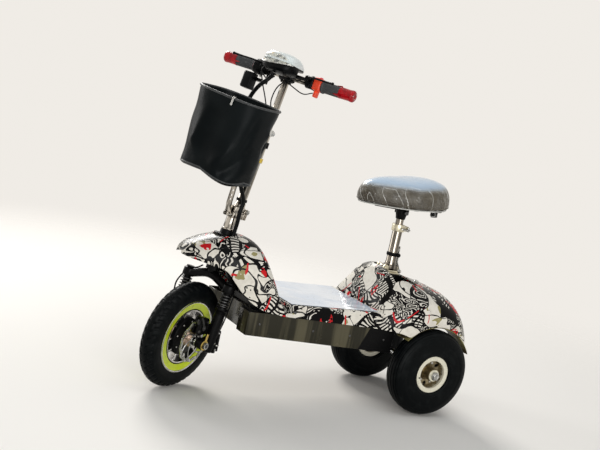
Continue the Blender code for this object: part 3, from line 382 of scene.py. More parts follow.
def deck_film_paint():
    """Blue-white film on the deck: glossy, clouded, with dark specks of the print in scattered patches."""
    p = Paint("deck_film_gloss")
    cloud = p.noise(7.0, 4.0)
    streak = p.noise(12.0, 4.0, p.stretch(0.5, 1.6, 1.0))
    color = p.mix(cloud.between(0.38, 0.62), (0.56, 0.65, 0.78), (0.74, 0.79, 0.86))
    color = p.mix(streak.between(0.52, 0.74) * 0.55, color, (0.42, 0.5, 0.62))
    specks = (p.noise(150.0, 4.0) > 0.66) * (p.noise(11.0, 2.0) > 0.56) * 0.6
    return p.finish(color=p.mix(specks, color, (0.1, 0.11, 0.13)), rough=streak * 0.18 + 0.06, coat=0.7,
            coat_rough=0.03, normal=p.bump(streak, 0.35, 0.003))


def lens_clear():
    p = Paint("lens_clear")
    facing = p.add("ShaderNodeLayerWeight", {}, {"Blend": 0.45}, "Facing")
    return p.finish(color=(0.88, 0.92, 0.9), rough=0.05, coat=1.0, coat_rough=0.02, alpha=facing * 0.35 + 0.08,
            normal=p.bump(p.noise(50.0, 2.0), 0.1, 0.002))


def reflector_painted_facets():
    """Faceted bowl behind the lens, silver with a green cast on one side; its light and dark facets are painted
    reflections.
    """
    p = Paint("reflector_facets")
    facets = p.cells(125.0, output="Color")
    # painted reflections: each facet is coloured light or dark as if it mirrored a different part of the
    # surroundings
    color = p.mix(p.axis(0, facets) < 0.34, (0.7, 0.68, 0.58), (0.09, 0.08, 0.06))
    color = p.mix(p.axis(1, facets) > 0.86, color, (0.75, 0.52, 0.2))
    green = (p.axis(1) - p.axis(0) * 0.5).between(-0.05, -0.02)
    return p.finish(color=p.mix(green * 0.35, color, (0.3, 0.8, 0.42)), metal=0.35, rough=0.25,
            normal=p.bump(p.axis(2, facets), 0.5, 0.002))


LOOKS = {
    "print": print_paint(),
    "black": gloss_black("frame_black_gloss", 0.003, 0.2),
    "tray": tray_paint(),
    "tray_end": gloss_black("battery_box_end", 0.004, 0.3),
    "chrome": polished("chrome_polish", (0.52, 0.48, 0.42), 0.07, tuple(STEER.to_3x3() @ Vector((0, 0, 1)))),
    "post_chrome": polished("post_chrome", (0.29, 0.26, 0.22), 0.06, dark=0.2),
    "zinc": zinc("zinc_steel", (0.56, 0.55, 0.52)),
    "silver": polished("cast_silver", (0.58, 0.58, 0.56), 0.18, dark=0.55),
    "pale_plate": polished("pale_plate", (0.74, 0.73, 0.71), 0.16, dark=0.75),
    "dark_metal": zinc("blackened_steel", (0.1, 0.1, 0.1)),
    "brass": zinc("brass_plating", (0.78, 0.56, 0.16)),
    "cream_zinc": zinc("cream_zinc", (0.66, 0.61, 0.46)),
    "tyre": coated("tyre_rubber", (45.0, 6.0), (0.46, 0.84), (0.002, 0.0028, 0.0031), (0.008, 0.0095, 0.0095),
            (0.22, 0.3), (900.0, 2.0, 0.16, 0.0004), ior=1.15),
    "cream": enamel("rim_cream", (0.8, 0.755, 0.6)),
    "hub_olive": zinc("hub_yellow_zinc", (0.3, 0.25, 0.155)),
    "lime": enamel("rim_lime", (0.58, 0.7, 0.01), 0.3, 0.06),
    "motor": gloss_black("motor_shell_black", 0.003, 0.3),
    "bronze": zinc("disc_flange_bronze", (0.55, 0.4, 0.32)),
    "plastic": moulded("black_moulding", (0.003, 0.0034, 0.0038), 0.34),
    "sleeve": moulded("cable_sleeve", (0.003, 0.0032, 0.0035), 0.4, 0.1),
    "rubber": moulded("soft_rubber", (0.0032, 0.0034, 0.0036), 0.6, 0.4),
    "grey": enamel("grey_box_side", (0.25, 0.24, 0.23), 0.35),
    "orange": moulded("orange_moulding", (0.82, 0.06, 0.018), 0.3, 0.2, 1.4),
    "pink": moulded("pink_push", (0.66, 0.03, 0.09), 0.28, 0.2, 1.4),
    "red": coated("grip_cap_red", (60.0, 3.0), (0.3, 0.7), (0.5, 0.008, 0.014), (0.28, 0.004, 0.008),
            (0.0, 0.16), None, coat=0.12, coat_rough=0.04, ior=1.25),
    "grip": coated("grip_rubber", (80.0, 5.0), (0.42, 0.78), (0.052, 0.054, 0.055), (0.1, 0.1, 0.098),
            (0.2, 0.55), (1100.0, 3.0, 0.25, 0.0004), specular=0.2),
    "yellow": enamel("yellow_band", (0.72, 0.5, 0.035), 0.4),
    "liner": coated("arch_liner_sheet", (22.0, 4.0), (0.4, 0.6), (0.06, 0.044, 0.02), (0.23, 0.205, 0.07),
            (0.3, 0.35, 70.0, 4.0), (60.0, 3.0, 0.3, 0.002), ior=1.3),
    "bag": bag_cloth(),
    "piping": coated("bag_piping", (200.0, 3.0), (0.4, 0.7), (0.011, 0.013, 0.014), (0.04, 0.043, 0.045),
            (0.0, 0.42), (900.0, 2.0, 0.3, 0.001)),
    "vinyl": saddle_vinyl(),
    "saddle_film": saddle_wrap(),
    "film_hem": enamel("wrap_hem", (0.6, 0.59, 0.55), 0.3),
    "deck_film": deck_film_paint(),
    "lens": lens_clear(),
    "reflector": reflector_painted_facets(),
    "lamp_cap": coated("lamp_cap_pearl", (30.0, 4.0), (0.35, 0.7), (0.7, 0.76, 0.74), (0.84, 0.86, 0.84),
            (0.2, 0.12), (30.0, 4.0, 0.3, 0.003), coat=0.9, coat_rough=0.04),
    "battery": moulded("battery_wrap", (0.1, 0.16, 0.32), 0.4),
    "alloy": zinc("controller_alloy", (0.62, 0.62, 0.62)),
}

# each body's usual frame
PLACES = {"chassis": CHASSIS, "saddle": SADDLE, "seat_frame": CHASSIS, "seat_quick_lever": CHASSIS,
        "seat_latch": CHASSIS, "front_wheel": FRONT_HUB, "fork_lower": STEER, "caliper_lever": STEER,
        "steering": STEER, "stem": STEER, "stem_latch": STEER, "handlebars": STEER, "horn_push": BAR}


# solids

def mm(*rows):
    """Points written in millimetres, in metres."""
    return [tuple(v / 1000 for v in row) for row in rows]


def skin(loops, wrap=False, cap=True, closed=True):
    """Surface through loops of points; wrap joins the last loop to the first, closed joins each loop's ends."""
    bm = bmesh.new()
    rows = [[bm.verts.new(p) for p in loop] for loop in loops]
    pairs = list(zip(rows, rows[1:]))
    if wrap:
        pairs.append((rows[-1], rows[0]))
    count = len(rows[0])
    for low, high in pairs:
        for i in range(count if closed else count - 1):
            j = (i + 1) % count
            bm.faces.new((low[i], low[j], high[j], high[i]))
    if cap and not wrap and closed:
        bm.faces.new(rows[0])
        bm.faces.new(rows[-1])
    bmesh.ops.recalc_face_normals(bm, faces=bm.faces)
    return bm


def polar(r, angle, z):
    return (r * math.cos(angle), r * math.sin(angle), z)


def angles(count, first=0.0):
    """Evenly spaced angles; first is the share of a step by which they start late."""
    return [math.tau * (k + first) / count for k in range(count)]


def mirrored(half):
    """A profile followed by its mirror image across zero."""
    return [*half, *((r, -y) for r, y in reversed(half))]


def lathe(profile, segs=64, wrap=False):
    """Turns (radius, height) points about z."""
    return skin([[polar(r, a, h) for a in angles(segs)] for r, h in profile], wrap=wrap)


def soft_lathe(profile, edge=0.0006, segs=64, wrap=False):
    return soften(lathe(profile, segs, wrap), edge, 2)


def ring(r_in, r_out, z0, z1, segs):
    return lathe([(r_in, z0), (r_out, z0), (r_out, z1), (r_in, z1)], segs, wrap=True)


def soft_ring(r_in, r_out, z0, z1, edge, segs):
    return soften(ring(r_in, r_out, z0, z1, segs), edge, 2)


def pin(radius, y0, y1, at, edge, segs):
    """Rounded cylinder that lies along y."""
    return along_y(soft_lathe([(radius, y0), (radius, y1)], edge, segs), at)


def block(x0, x1, y0, y1, z0, z1, edge):
    return plate_z([(x0, y0), (x1, y0), (x1, y1), (x0, y1)], z0, z1, edge)


def prism_y(outline, y0, y1, edge=0.0):
    bm = skin([[(x, y, z) for x, z in outline] for y in (y0, y1)])
    return soften(bm, edge, 3) if edge else bm


def plate_z(outline, z0, z1, edge=0.0):
    bm = skin([[(x, y, z) for x, y in outline] for z in (z0, z1)])
    return soften(bm, edge, 3) if edge else bm


def soften(bm, width, segments=3, angle=32.0):
    """Rounds every edge sharper than the angle."""
    limit = math.radians(angle)
    edges = [e for e in bm.edges if len(e.link_faces) == 2 and e.calc_face_angle(0.0) > limit]
    bmesh.ops.bevel(bm, geom=edges, offset=width, segments=segments, profile=0.5, affect="EDGES",
            clamp_overlap=True)
    return bm


def rod(p0, p1, radius, segs=32, edge=0.0):
    p0 = Vector(p0)
    p1 = Vector(p1)
    turn = (p1 - p0).to_track_quat("Z", "Y").to_matrix().to_4x4()
    bm = lathe([(radius, 0.0), (radius, (p1 - p0).length)], segs)
    if edge:
        soften(bm, edge, 3)
    return moved(bm, Matrix.Translation(p0) @ turn)


def smooth_path(points, per_span=8):
    """Catmull-Rom points through the given ones."""
    pts = [Vector(p) for p in points]
    pts = [pts[0] * 2 - pts[1]] + pts + [pts[-1] * 2 - pts[-2]]
    out = []
    for i in range(1, len(pts) - 2):
        a, b, c, d = pts[i - 1:i + 3]
        for k in range(per_span):
            t = k / per_span
            out.append(0.5 * (2 * b + (c - a) * t + (2 * a - 5 * b + 4 * c - d) * t * t
                    + (3 * b - a - 3 * c + d) * t ** 3))
    out.append(pts[-2])
    return out


def sweep(points, radius, segs=14, wrap=False, flat=1.0):
    """Tube along points; radius is a number or a function of the share of the way."""
    points = [Vector(p) for p in points]
    loops = []
    side = Vector((0, 0, 1))
    for i, here in enumerate(points):
        before = points[i - 1] if i or wrap else here
        after = points[(i + 1) % len(points)] if i + 1 < len(points) or wrap else here
        along = (after - before).normalized()
        side = side - along * side.dot(along)
        if side.length < 0.001:
            side = along.orthogonal()
        side.normalize()
        other = along.cross(side)
        r = radius(i / (len(points) - 1)) if callable(radius) else radius
        loops.append([here + side * math.cos(a) * r * flat + other * math.sin(a) * r for a in angles(segs)])
    return skin(loops, wrap=wrap)


def moved(bm, matrix):
    bmesh.ops.transform(bm, matrix=matrix, verts=bm.verts)
    if matrix.determinant() < 0:
        bmesh.ops.reverse_faces(bm, faces=bm.faces)
    return bm


def shifted(bm, x, y, z):
    return moved(bm, Matrix.Translation((x, y, z)))


def along_y(bm, at=(0, 0, 0)):
    """Turns a solid made about z so that its axis is +Y, then moves it."""
    return moved(bm, Matrix.Translation(Vector(at)) @ Matrix.Rotation(math.radians(-90), 4, "X"))


def spun(bm, angle):
    return moved(bm, Matrix.Rotation(angle, 4, "Z"))


def hexagon(across, z0, z1, edge=0.0008):
    """Nut or bolt head with its corners turned down; across is over the corners."""
    flats = across * math.cos(math.pi / 6)
    bm = lathe([(flats * 0.98, z0), (across, z0 + edge), (across, z1 - edge), (flats * 0.98, z1)], 6)
    return soften(bm, edge * 0.4, 2)


def dome_bolt(radius, height):
    """Button head on z = 0 with a dimple in its middle."""
    profile = [(0.86, 0.0), (1.0, 0.0), (1.0, 0.35), (0.86, 0.8), (0.5, 1.0), (0.42, 1.0), (0.36, 0.45)]
    return soft_lathe([(radius * r, height * h) for r, h in profile], 0.0002, 24)


def hinge_ear(side, x, z, low, radius):
    """Upright ear with a round head about a hinge pin."""
    outline = [(x - radius, low), (x + radius, low)]
    for k in range(17):
        a = math.pi * k / 16
        outline.append((x + radius * math.cos(a), z + radius * math.sin(a)))
    return prism_y(outline, *sorted((side * 0.015, side * 0.0195)), 0.0008)


def join(*solids):
    total = bmesh.new()
    for bm in solids:
        mesh = bpy.data.meshes.new("part")
        bm.to_mesh(mesh)
        bm.free()
        total.from_mesh(mesh)
        bpy.data.meshes.remove(mesh)
    return total


def cut(first, *tools):
    """Exact boolean difference."""
    for tool in tools:
        first = cut_one(first, tool)
    return first


def cut_one(first, tool):
    objs = []
    for bm in (first, tool):
        mesh = bpy.data.meshes.new("solid")
        bm.to_mesh(mesh)
        bm.free()
        obj = bpy.data.objects.new("solid", mesh)
        bpy.context.scene.collection.objects.link(obj)
        objs.append(obj)
    mod = objs[0].modifiers.new("cut", "BOOLEAN")
    mod.operation = "DIFFERENCE"
    mod.solver = "EXACT"
    mod.object = objs[1]
    bpy.context.view_layer.update()
    graph = bpy.context.evaluated_depsgraph_get()
    mesh = bpy.data.meshes.new_from_object(objs[0].evaluated_get(graph))
    out = bmesh.new()
    out.from_mesh(mesh)
    for obj in objs:
        bpy.data.objects.remove(obj, do_unlink=True)
    bpy.data.meshes.remove(mesh)
    return out


def piece(name, bm, look, body, stands_for=(), angle=34.0, place=None):
    """Makes a shown piece that rides on a body; body None leaves it unattached.

    stands_for names the nodes it replaces; edges sharper than the angle stay sharp.
    """
    moved(bm, PLACES[body] if place is None else place)
    bmesh.ops.remove_doubles(bm, verts=bm.verts, dist=1e-07)
    mesh = bpy.data.meshes.new(name)
    bm.to_mesh(mesh)
    bm.free()
    obj = bpy.data.objects.new(name, mesh)
    bpy.context.scene.collection.objects.link(obj)
    mesh.materials.append(LOOKS[look])
    mesh.shade_smooth()
    mesh.set_sharp_from_angle(angle=math.radians(angle))
    if body:
        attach(obj, body)
    if stands_for:
        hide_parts(*stands_for)
    return obj


def superellipse(t, n):
    c = math.cos(t)
    s = math.sin(t)
    return (math.copysign(abs(c) ** (2 / n), c), math.copysign(abs(s) ** (2 / n), s))


def seam(x):
    """Lower edge of the printed skirts."""
    return 0.272 - (0.58 - x) * SEAM_SLOPE


def box_floor(x):
    return 0.203 - (0.62 - x) * 0.051


# covers and deck

def fine_sections(sections, per_span=4):
    """Catmull-Rom through the section rows."""
    rows = [sections[0]] + list(sections) + [sections[-1]]
    out = []
    for i in range(1, len(rows) - 2):
        a, b, c, d = rows[i - 1:i + 3]
        for k in range(per_span):
            t = k / per_span
            out.append(tuple(0.5 * (2 * q + (r - p) * t + (2 * p - 5 * q + 4 * r - s) * t * t
                    + (3 * q - p - 3 * r + s) * t ** 3) for p, q, r, s in zip(a, b, c, d)))
    out.append(sections[-1])
    return out


def hull(sections, thickness, power, count=56):
    """Hollow cover from (x, half width, top, lower edge) sections, open below."""
    loops = []
    for x, w, top, low in sections:
        row = []
        for inset, order in ((0.0, range(count + 1)), (thickness, range(count, -1, -1))):
            for i in order:
                c, s = superellipse(math.pi * i / count, power(x))
                row.append((x, (w - inset) * c, low + (top - inset - low) * s))
        loops.append(row)
    bm = skin(loops, cap=False)
    bm.verts.ensure_lookup_table()
    size = len(loops[0])
    for start in (0, size * (len(loops) - 1)):
        for i in range(count):
            j = size - 1 - i
            bm.faces.new([bm.verts[start + k] for k in (i, i + 1, j - 1, j)])
    bmesh.ops.recalc_face_normals(bm, faces=bm.faces)
    return bm


FRONT_SECTIONS = mm((825, 20, 405, 394), (814, 42, 417, 391), (795, 60, 431, 388), (771, 71, 442, 384),
        (745, 80, 452, 379), (718, 88, 459, 374), (700, 94, 463, 364), (680, 104, 465, 341),
        (660, 117, 465, 318), (640, 130, 463, 300), (620, 140, 458, 288), (603, 147, 447, 281),
        (588, 152, 428, 277), (574, 156, 402, 275), (561, 158, 372, 273.5), (550, 158, 343, 272.5),
        (539, 158, 320, 270.5), (524, 158, 308, 269.5))

REAR_SECTIONS = mm((195, 158, 309, 255.6), (190, 160, 332, 255.4), (183, 163, 352, 255.1),
        (174, 167, 369, 254.7), (165, 171, 386, 254.3), (156, 175, 403, 253.9), (147, 179, 416, 253.5),
        (134, 184, 425.5, 253), (118, 190, 425, 250))

REAR_TAIL = mm((100, 194, 417), (78, 196, 408), (50, 196, 399), (20, 196, 391), (-10, 195, 385),
        (-38, 193, 379), (-64, 190, 371), (-86, 186, 358), (-105, 181, 341), (-120, 175, 320), (-131, 168, 296),
        (-138, 160, 268), (-142, 152, 245))


def arch_edge(x):
    """Lower edge of the rear cover over the wheels."""
    reach = 0.149
    return REAR_R + math.sqrt(reach ** 2 - min(abs(x), 0.128) ** 2)


def front_cover():
    shell = hull(fine_sections(FRONT_SECTIONS), COVER_SKIN, lambda x: 2.7)
    head = Matrix.Translation((0.69, 0.0, 0.47)) @ Matrix.Rotation(math.radians(-10), 4, "Y")
    shell = cut(shell, moved(lathe([(0.035, -0.06), (0.035, 0.05)], 64), head))
    piece("front_cover_shell", soften(shell, 0.0009, 2, 60.0), "print", "chassis", ["front_cover"], 50.0)


def rear_power(x):
    return 2.6 - 0.6 * max(0.0, 1.0 - abs(x - 0.15) / 0.05)


def rear_cover():
    sections = REAR_SECTIONS + [(x, w, top, arch_edge(x)) for x, w, top in REAR_TAIL]
    shell = hull(fine_sections(sections), COVER_SKIN, rear_power)
    notch = skin([[(x0, -0.034, z), (x1, -0.034, z), (x1, y, z), (x0, y, z)]
            for x0, x1, y, z in ((0.05, 0.144, 0.15, 0.5), (0.056, 0.138, 0.09, 0.345))])
    piece("rear_cover_shell", soften(cut(shell, notch), 0.0009, 2, 60.0), "print", "chassis", ["rear_cover"],
            50.0)


def deck_panel():
    """Deck plate with rounded shoulders and skirts, open below."""
    loops = []
    bend = 0.006
    for x in (0.1955, 0.33, 0.43, 0.5235):
        outer = [(-DECK_HALF, seam(x))]
        for k in range(7):
            a = math.radians(180 - k * 15)
            outer.append((-DECK_HALF + bend + bend * math.cos(a), DECK_TOP - bend + bend * math.sin(a)))
        outer += [(-y, z) for y, z in reversed(outer)]
        wall = DECK_HALF - 0.004
        inner = [(wall, seam(x)), (wall, 0.294), (-wall, 0.294), (-wall, seam(x))]
        loops.append([(x, y, z) for y, z in outer + inner])
    piece("deck_panel_printed", skin(loops), "print", "chassis", ["deck_panel"])


def deck_film():
    """Film laid on the deck, a little puckered."""
    nx = 60
    ny = 56
    half = 0.146
    level = DECK_TOP + 0.0003 + 0.0012
    rows = []
    for i in range(nx + 1):
        row = []
        for j in range(ny + 1):
            x = 0.208 + 0.304 * i / nx
            y = -half + 2 * half * j / ny
            edge = min(i, nx - i, j, ny - j) / 6.0
            lift = 0.0011 * noise.noise(Vector((x * 14, y * 26, 3.0))) * min(1.0, edge)
            row.append((x, y, level + max(-0.0006, lift)))
        rows.append(row)
    bm = skin(rows, cap=False, closed=False)
    bmesh.ops.solidify(bm, geom=bm.faces[:], thickness=0.0005)
    bmesh.ops.recalc_face_normals(bm, faces=bm.faces)
    piece("deck_film_sheet", bm, "deck_film", "chassis", ["deck_film"])


def box_block(inset, floor, top):
    """Plan of the box, whose front corners reach forward beside the wheel, from floor to top."""
    half = 0.145 - inset
    plan = [(0.13 + inset, half), (0.641 - inset, half), (0.641 - inset, 0.086 + inset),
            (0.62 - inset, 0.06 + inset)]
    plan = mirrored(plan)
    return skin([[(x, y, box_floor(x) + floor) for x, y in plan], [(x, y, top) for x, y in plan]])


def battery_box():
    """Open tray; its slanting rear end is a piece of its own, in plain black."""
    edge = mm((272, 140), (255, 178), (214, 272), (202, 300))
    for name, look, far, stands in (("shell", "tray", 0.05, ["battery_tray"]), ("end", "tray_end", 0.75, ())):
        tray = cut(box_block(0.0, 0.0, 0.2717), box_block(COVER_SKIN, COVER_SKIN, 0.29))
        rest = prism_y([(far, 0.14)] + edge + [(far, 0.3)], -0.2, 0.2)
        bmesh.ops.recalc_face_normals(rest, faces=rest.faces)
        piece("battery_box_" + name, cut(soften(tray, 0.0022, 3, 60.0), rest), look, "chassis", stands, 50.0)
    screws = []
    for side in (1, -1):
        for x in (0.165, 0.29, 0.42, 0.6):
            turn = Matrix.Translation((x, side * 0.145, 0.238 - (0.59 - x) * 0.045))
            screws.append(moved(dome_bolt(0.0035, 0.0016), turn @ Matrix.Rotation(-side * math.pi / 2, 4, "X")))
    piece("battery_box_screws", join(*screws), "dark_metal", "chassis")


def wheel_arches():
    inner = 0.1455
    outer = 0.1478
    for name, side in SIDES:
        loops = []
        for i in range(61):
            a = math.radians(42 + i * 110 / 60)
            wave = 0.0006 * math.sin(i * 0.9)
            loops.append([(r * math.cos(a), y * side, REAR_R + r * math.sin(a))
                    for r, y in ((inner + wave, 0.128), (inner, 0.16), (inner, 0.1935), (outer, 0.1935),
                    (outer, 0.16), (outer + wave, 0.128))])
        piece("arch_liner_" + name, soften(skin(loops), 0.0005, 2, 60.0), "liner", "chassis",
                ["wheel_arch_" + name], 50.0)


def cover_bolts():
    """Big washer bolt and bracket in the saddle recess, and the small screws along the covers."""
    bolt = join(soft_lathe([(0.0125, 0.0), (0.0125, 0.0016)], 0.0004, 40),
            shifted(hexagon(0.0088, 0.0, 0.006), 0, 0, 0.0014))
    lean = Matrix.Translation((0.062, 0.104, 0.399)) @ Matrix.Rotation(math.radians(-14), 4, "X")
    piece("saddle_recess_bolt", bolt, "silver", "chassis", place=CHASSIS @ lean)
    bracket = join(*(block(0.094, 0.116, 0.03, y, 0.35, z, 0.0012)
            for y, z in ((0.034, 0.404), (0.078, 0.354))))
    piece("saddle_recess_bracket", bracket, "black", "chassis")
    screws = []
    for side in (1, -1):
        for x, z in ((0.215, 0.279), (0.5, 0.284)):
            turn = Matrix.Translation((x, side * DECK_HALF, z)) @ Matrix.Rotation(math.radians(-side * 90), 4,
                    "X")
            screws.append(moved(dome_bolt(0.0042, 0.0018), turn))
    piece("skirt_screws", join(*screws), "dark_metal", "chassis")


# rear wheels

def rear_tyre():
    """Balloon tyre with four ribs across the tread and rings on the wall."""
    half = mm((52.4, 21.5), (59.2, 29.8), (61, 36.8), (66, 39), (66.4, 39.8), (70, 40.1), (70.4, 39.6),
            (85, 40.4), (98, 40.3), (100, 39.9), (101.2, 40.3), (108, 39.4), (115, 37.6), (120, 35.2),
            (120.6, 34), (124, 32.8), (127.5, 30), (130, 27), (127, 26.2), (127.2, 24.5), (131.2, 23.8),
            (133.8, 19), (131, 18), (131.2, 16), (135, 15), (136, 8), (132.8, 7), (132.8, 5), (136.3, 4),
            (136.5, 0))
    return lathe(half + [(r, -y) for r, y in reversed(half[:-1])], 128, wrap=True)


def rear_rim_ring():
    half = mm((44, 24), (44, 31.8), (45.2, 33), (57.4, 33), (58.5, 32), (58.5, 30), (50, 23))
    return lathe(mirrored(half), 96, wrap=True)


def rear_dish():
    """Pressed wheel disc with five windows."""
    dish = lathe(mm((19, 4), (30, 9.5), (40, 10), (44.2, 16.5), (44.2, 13.5), (40, 7), (30, 6.5), (19, 1)), 80,
            wrap=True)
    return cut(dish, *(rod(polar(0.0345, a, -0.05), polar(0.0345, a, 0.05), 0.0062, 24)
            for a in angles(5, 0.1)))


def rear_wheels():
    for name, side in SIDES:
        hub = CHASSIS @ Matrix.Translation((0, side * TRACK / 2, REAR_R))
        if side < 0:
            hub = hub @ Matrix.Rotation(math.pi, 4, "Z")
        body = "rear_wheel_" + name
        piece("balloon_tyre_" + name, along_y(rear_tyre()), "tyre", body, ["rear_tyre_" + name], 30.0,
                place=hub)
        piece("rim_ring_" + name, along_y(rear_rim_ring()), "cream", body, ["rear_rim_" + name], 40.0,
                place=hub)
        well = lathe(mm((44, -24), (50, -23), (50, 23), (44, 24)), 80, wrap=True)
        outer = rear_dish()
        inner = moved(rear_dish(), Matrix.Scale(-1, 4, (0, 0, 1)))
        barrel = soft_lathe(mm((10.6, -40), (19.5, -40), (19.5, -12), (21.5, -6), (21.5, 9), (19.5, 13),
                (19.5, 40.5), (10.6, 40.5)), 0.0006, 64, True)
        studs = [shifted(hexagon(0.0046, 0.008, 0.013), *polar(0.0325, a, 0)) for a in angles(5, 0.6)]
        piece("wheel_hub_" + name, along_y(join(well, outer, inner, barrel)), "hub_olive", body, angle=40.0,
                place=hub)
        piece("wheel_studs_" + name, along_y(join(*studs)), "zinc", body, place=hub)
        valve = rod((0.0475, 0.012, 0.02), (0.0475, 0.012, 0.036), 0.0022, 16, 0.0004)
        piece("tyre_valve_" + name, along_y(valve), "rubber", body, place=hub)
    axle = along_y(soft_lathe(mm((3, -228.5), (8.5, -230.5), (10, -229), (10, 229), (8.5, 230.5), (3, 228.5)),
            0.0004, 48), REAR_AXLE)
    piece("rear_axle_bar", axle, "silver", "chassis", ["rear_axle"])
    for name, side in SIDES:
        low = 0.2172 if side > 0 else -0.2268
        piece("axle_nut_" + name, along_y(hexagon(0.014, low, low + 0.0096), REAR_AXLE), "silver", "chassis",
                ["rear_nut_" + name])
        washer = ring(0.0104, 0.018, side * 0.216 - 0.0008, side * 0.216 + 0.0008, 48)
        piece("axle_washer_" + name, along_y(washer, REAR_AXLE), "cream", "chassis")


# saddle

def saddle_outline(t, scale=1.0):
    """Plan of the saddle: broad at the back, with a short nose."""
    c, s = superellipse(t, 2.3)
    nose = max(0.0, c)
    return (SADDLE_X + SADDLE_LENGTH * c * scale, SADDLE_WIDTH * (1.0 - 0.5 * nose ** 1.4) * scale * s)


SADDLE_STATIONS = [(0.8, 0.625), (0.93, 0.6255), (0.985, 0.632), (1.0, 0.644), (0.985, 0.659), (0.94, 0.6725),
        (0.85, 0.684), (0.7, 0.693), (0.5, 0.699), (0.28, 0.702), (0.08, 0.703)]


def saddle_shell(grow, pucker, count=144, per_span=4):
    """Crowned cushion; grow stands it off, pucker adds gathers that run down its sides."""
    rings = []
    rows = [Vector((scale, z, 0)) for scale, z in SADDLE_STATIONS]
    for scale, z, _ in smooth_path(rows, per_span):
        loop = []
        side = max(0.0, 1.0 - abs(z - 0.652) / 0.034)
        top = max(0.0, (z - 0.644) / 0.059)
        for t in angles(count):
            x, y = saddle_outline(t, scale + grow / 0.13)
            fold = noise.noise(Vector((math.cos(t) * 9, math.sin(t) * 9, z * 12)))
            ripple = noise.noise(Vector((x * 30, y * 30, z * 30 + 7)))
            push = pucker * (side * fold + 0.35 * ripple)
            out = Vector((math.cos(t), math.sin(t), 0)) * push
            rear = (SADDLE_X - x) / SADDLE_LENGTH
            lift = (0.004 + 0.019 * max(0.0, rear) - 0.002 * max(0.0, -rear)) * top + grow * (z - 0.65) / 0.05
            loop.append((x + out.x, y + out.y, z + lift + 0.3 * push * top))
        rings.append(loop)
    return skin(rings)


def saddle():
    body = saddle_shell(0.0, 0.0008)
    obj = piece("saddle_cushion_vinyl", body, "vinyl", "saddle", ["saddle_cushion"], 60.0)
    film = saddle_shell(0.0014, 0.0024, 180, 5)
    piece("saddle_wrap_film", film, "saddle_film", "saddle", angle=80.0)
    welt = [(*saddle_outline(t, 0.992), 0.6335) for t in angles(120)]
    piece("saddle_edge_piping", sweep(welt, 0.0021, 10, wrap=True), "vinyl", "saddle")
    hem = [(*saddle_outline(t, 0.955 + 0.004 * math.sin(i * 0.9)), 0.6238) for i, t in enumerate(angles(120))]
    piece("saddle_wrap_hem", sweep(hem, 0.0018, 8, wrap=True), "film_hem", "saddle")
    pan = [[(*saddle_outline(t, scale), z) for t in angles(96)]
            for scale, z in ((0.7, 0.6216), (0.78, 0.6216), (0.785, 0.6247), (0.7, 0.6247))]
    piece("saddle_pan_moulding", soften(skin(pan), 0.0006, 2), "plastic", "saddle", ["saddle_pan"])


def saddle_frame():
    half = mm((215, 12, 618), (185, 20, 616), (140, 24.5, 613), (100, 24.5, 613), (60, 26.5, 613.5),
            (20, 50, 616), (-2, 60, 617.5))
    bend = [(-0.012, 0.045, 0.6175), (-0.015, 0.02, 0.6175)]
    loop = half + bend + [(x, -y, z) for x, y, z in reversed(half + bend)]
    piece("saddle_rail_wire", sweep(smooth_path(loop, 6), 0.0032, 14), "black", "saddle", ["saddle_rails"])
    coils = []
    for side in (1, -1):
        turns = [Vector((0.012 + 0.0105 * math.cos(a), side * 0.047 + 0.0105 * math.sin(a),
                0.5985 + 0.015 * a / (8 * math.pi))) for a in (math.pi * k / 10 for k in range(81))]
        coils.append(sweep(turns, 0.0016, 10))
    piece("saddle_coils", join(*coils), "dark_metal", "saddle")
    clamp = join(shifted(soft_lathe(mm((12.8, 577), (15, 577), (16.5, 587), (19, 596), (19, 612.5),
            (12.8, 612.5)), 0.0012, 48, True), POST_X, 0, 0), pin(0.0075, -0.0265, 0.0265, SADDLE_BOLT, 0.0008,
            32), *(block(POST_X - 0.013, POST_X + 0.013, y, y + 0.0028, 0.594, 0.617, 0.0006)
            for y in (0.018, -0.0208)))
    piece("saddle_clamp_casting", clamp, "black", "saddle", ["saddle_clamp"], place=CHASSIS)
    nuts = [along_y(hexagon(0.0072, s * 0.0262 - 0.003, s * 0.0262 + 0.003), SADDLE_BOLT) for s in (1, -1)]
    piece("saddle_clamp_nuts", join(*nuts), "dark_metal", "saddle", place=CHASSIS)


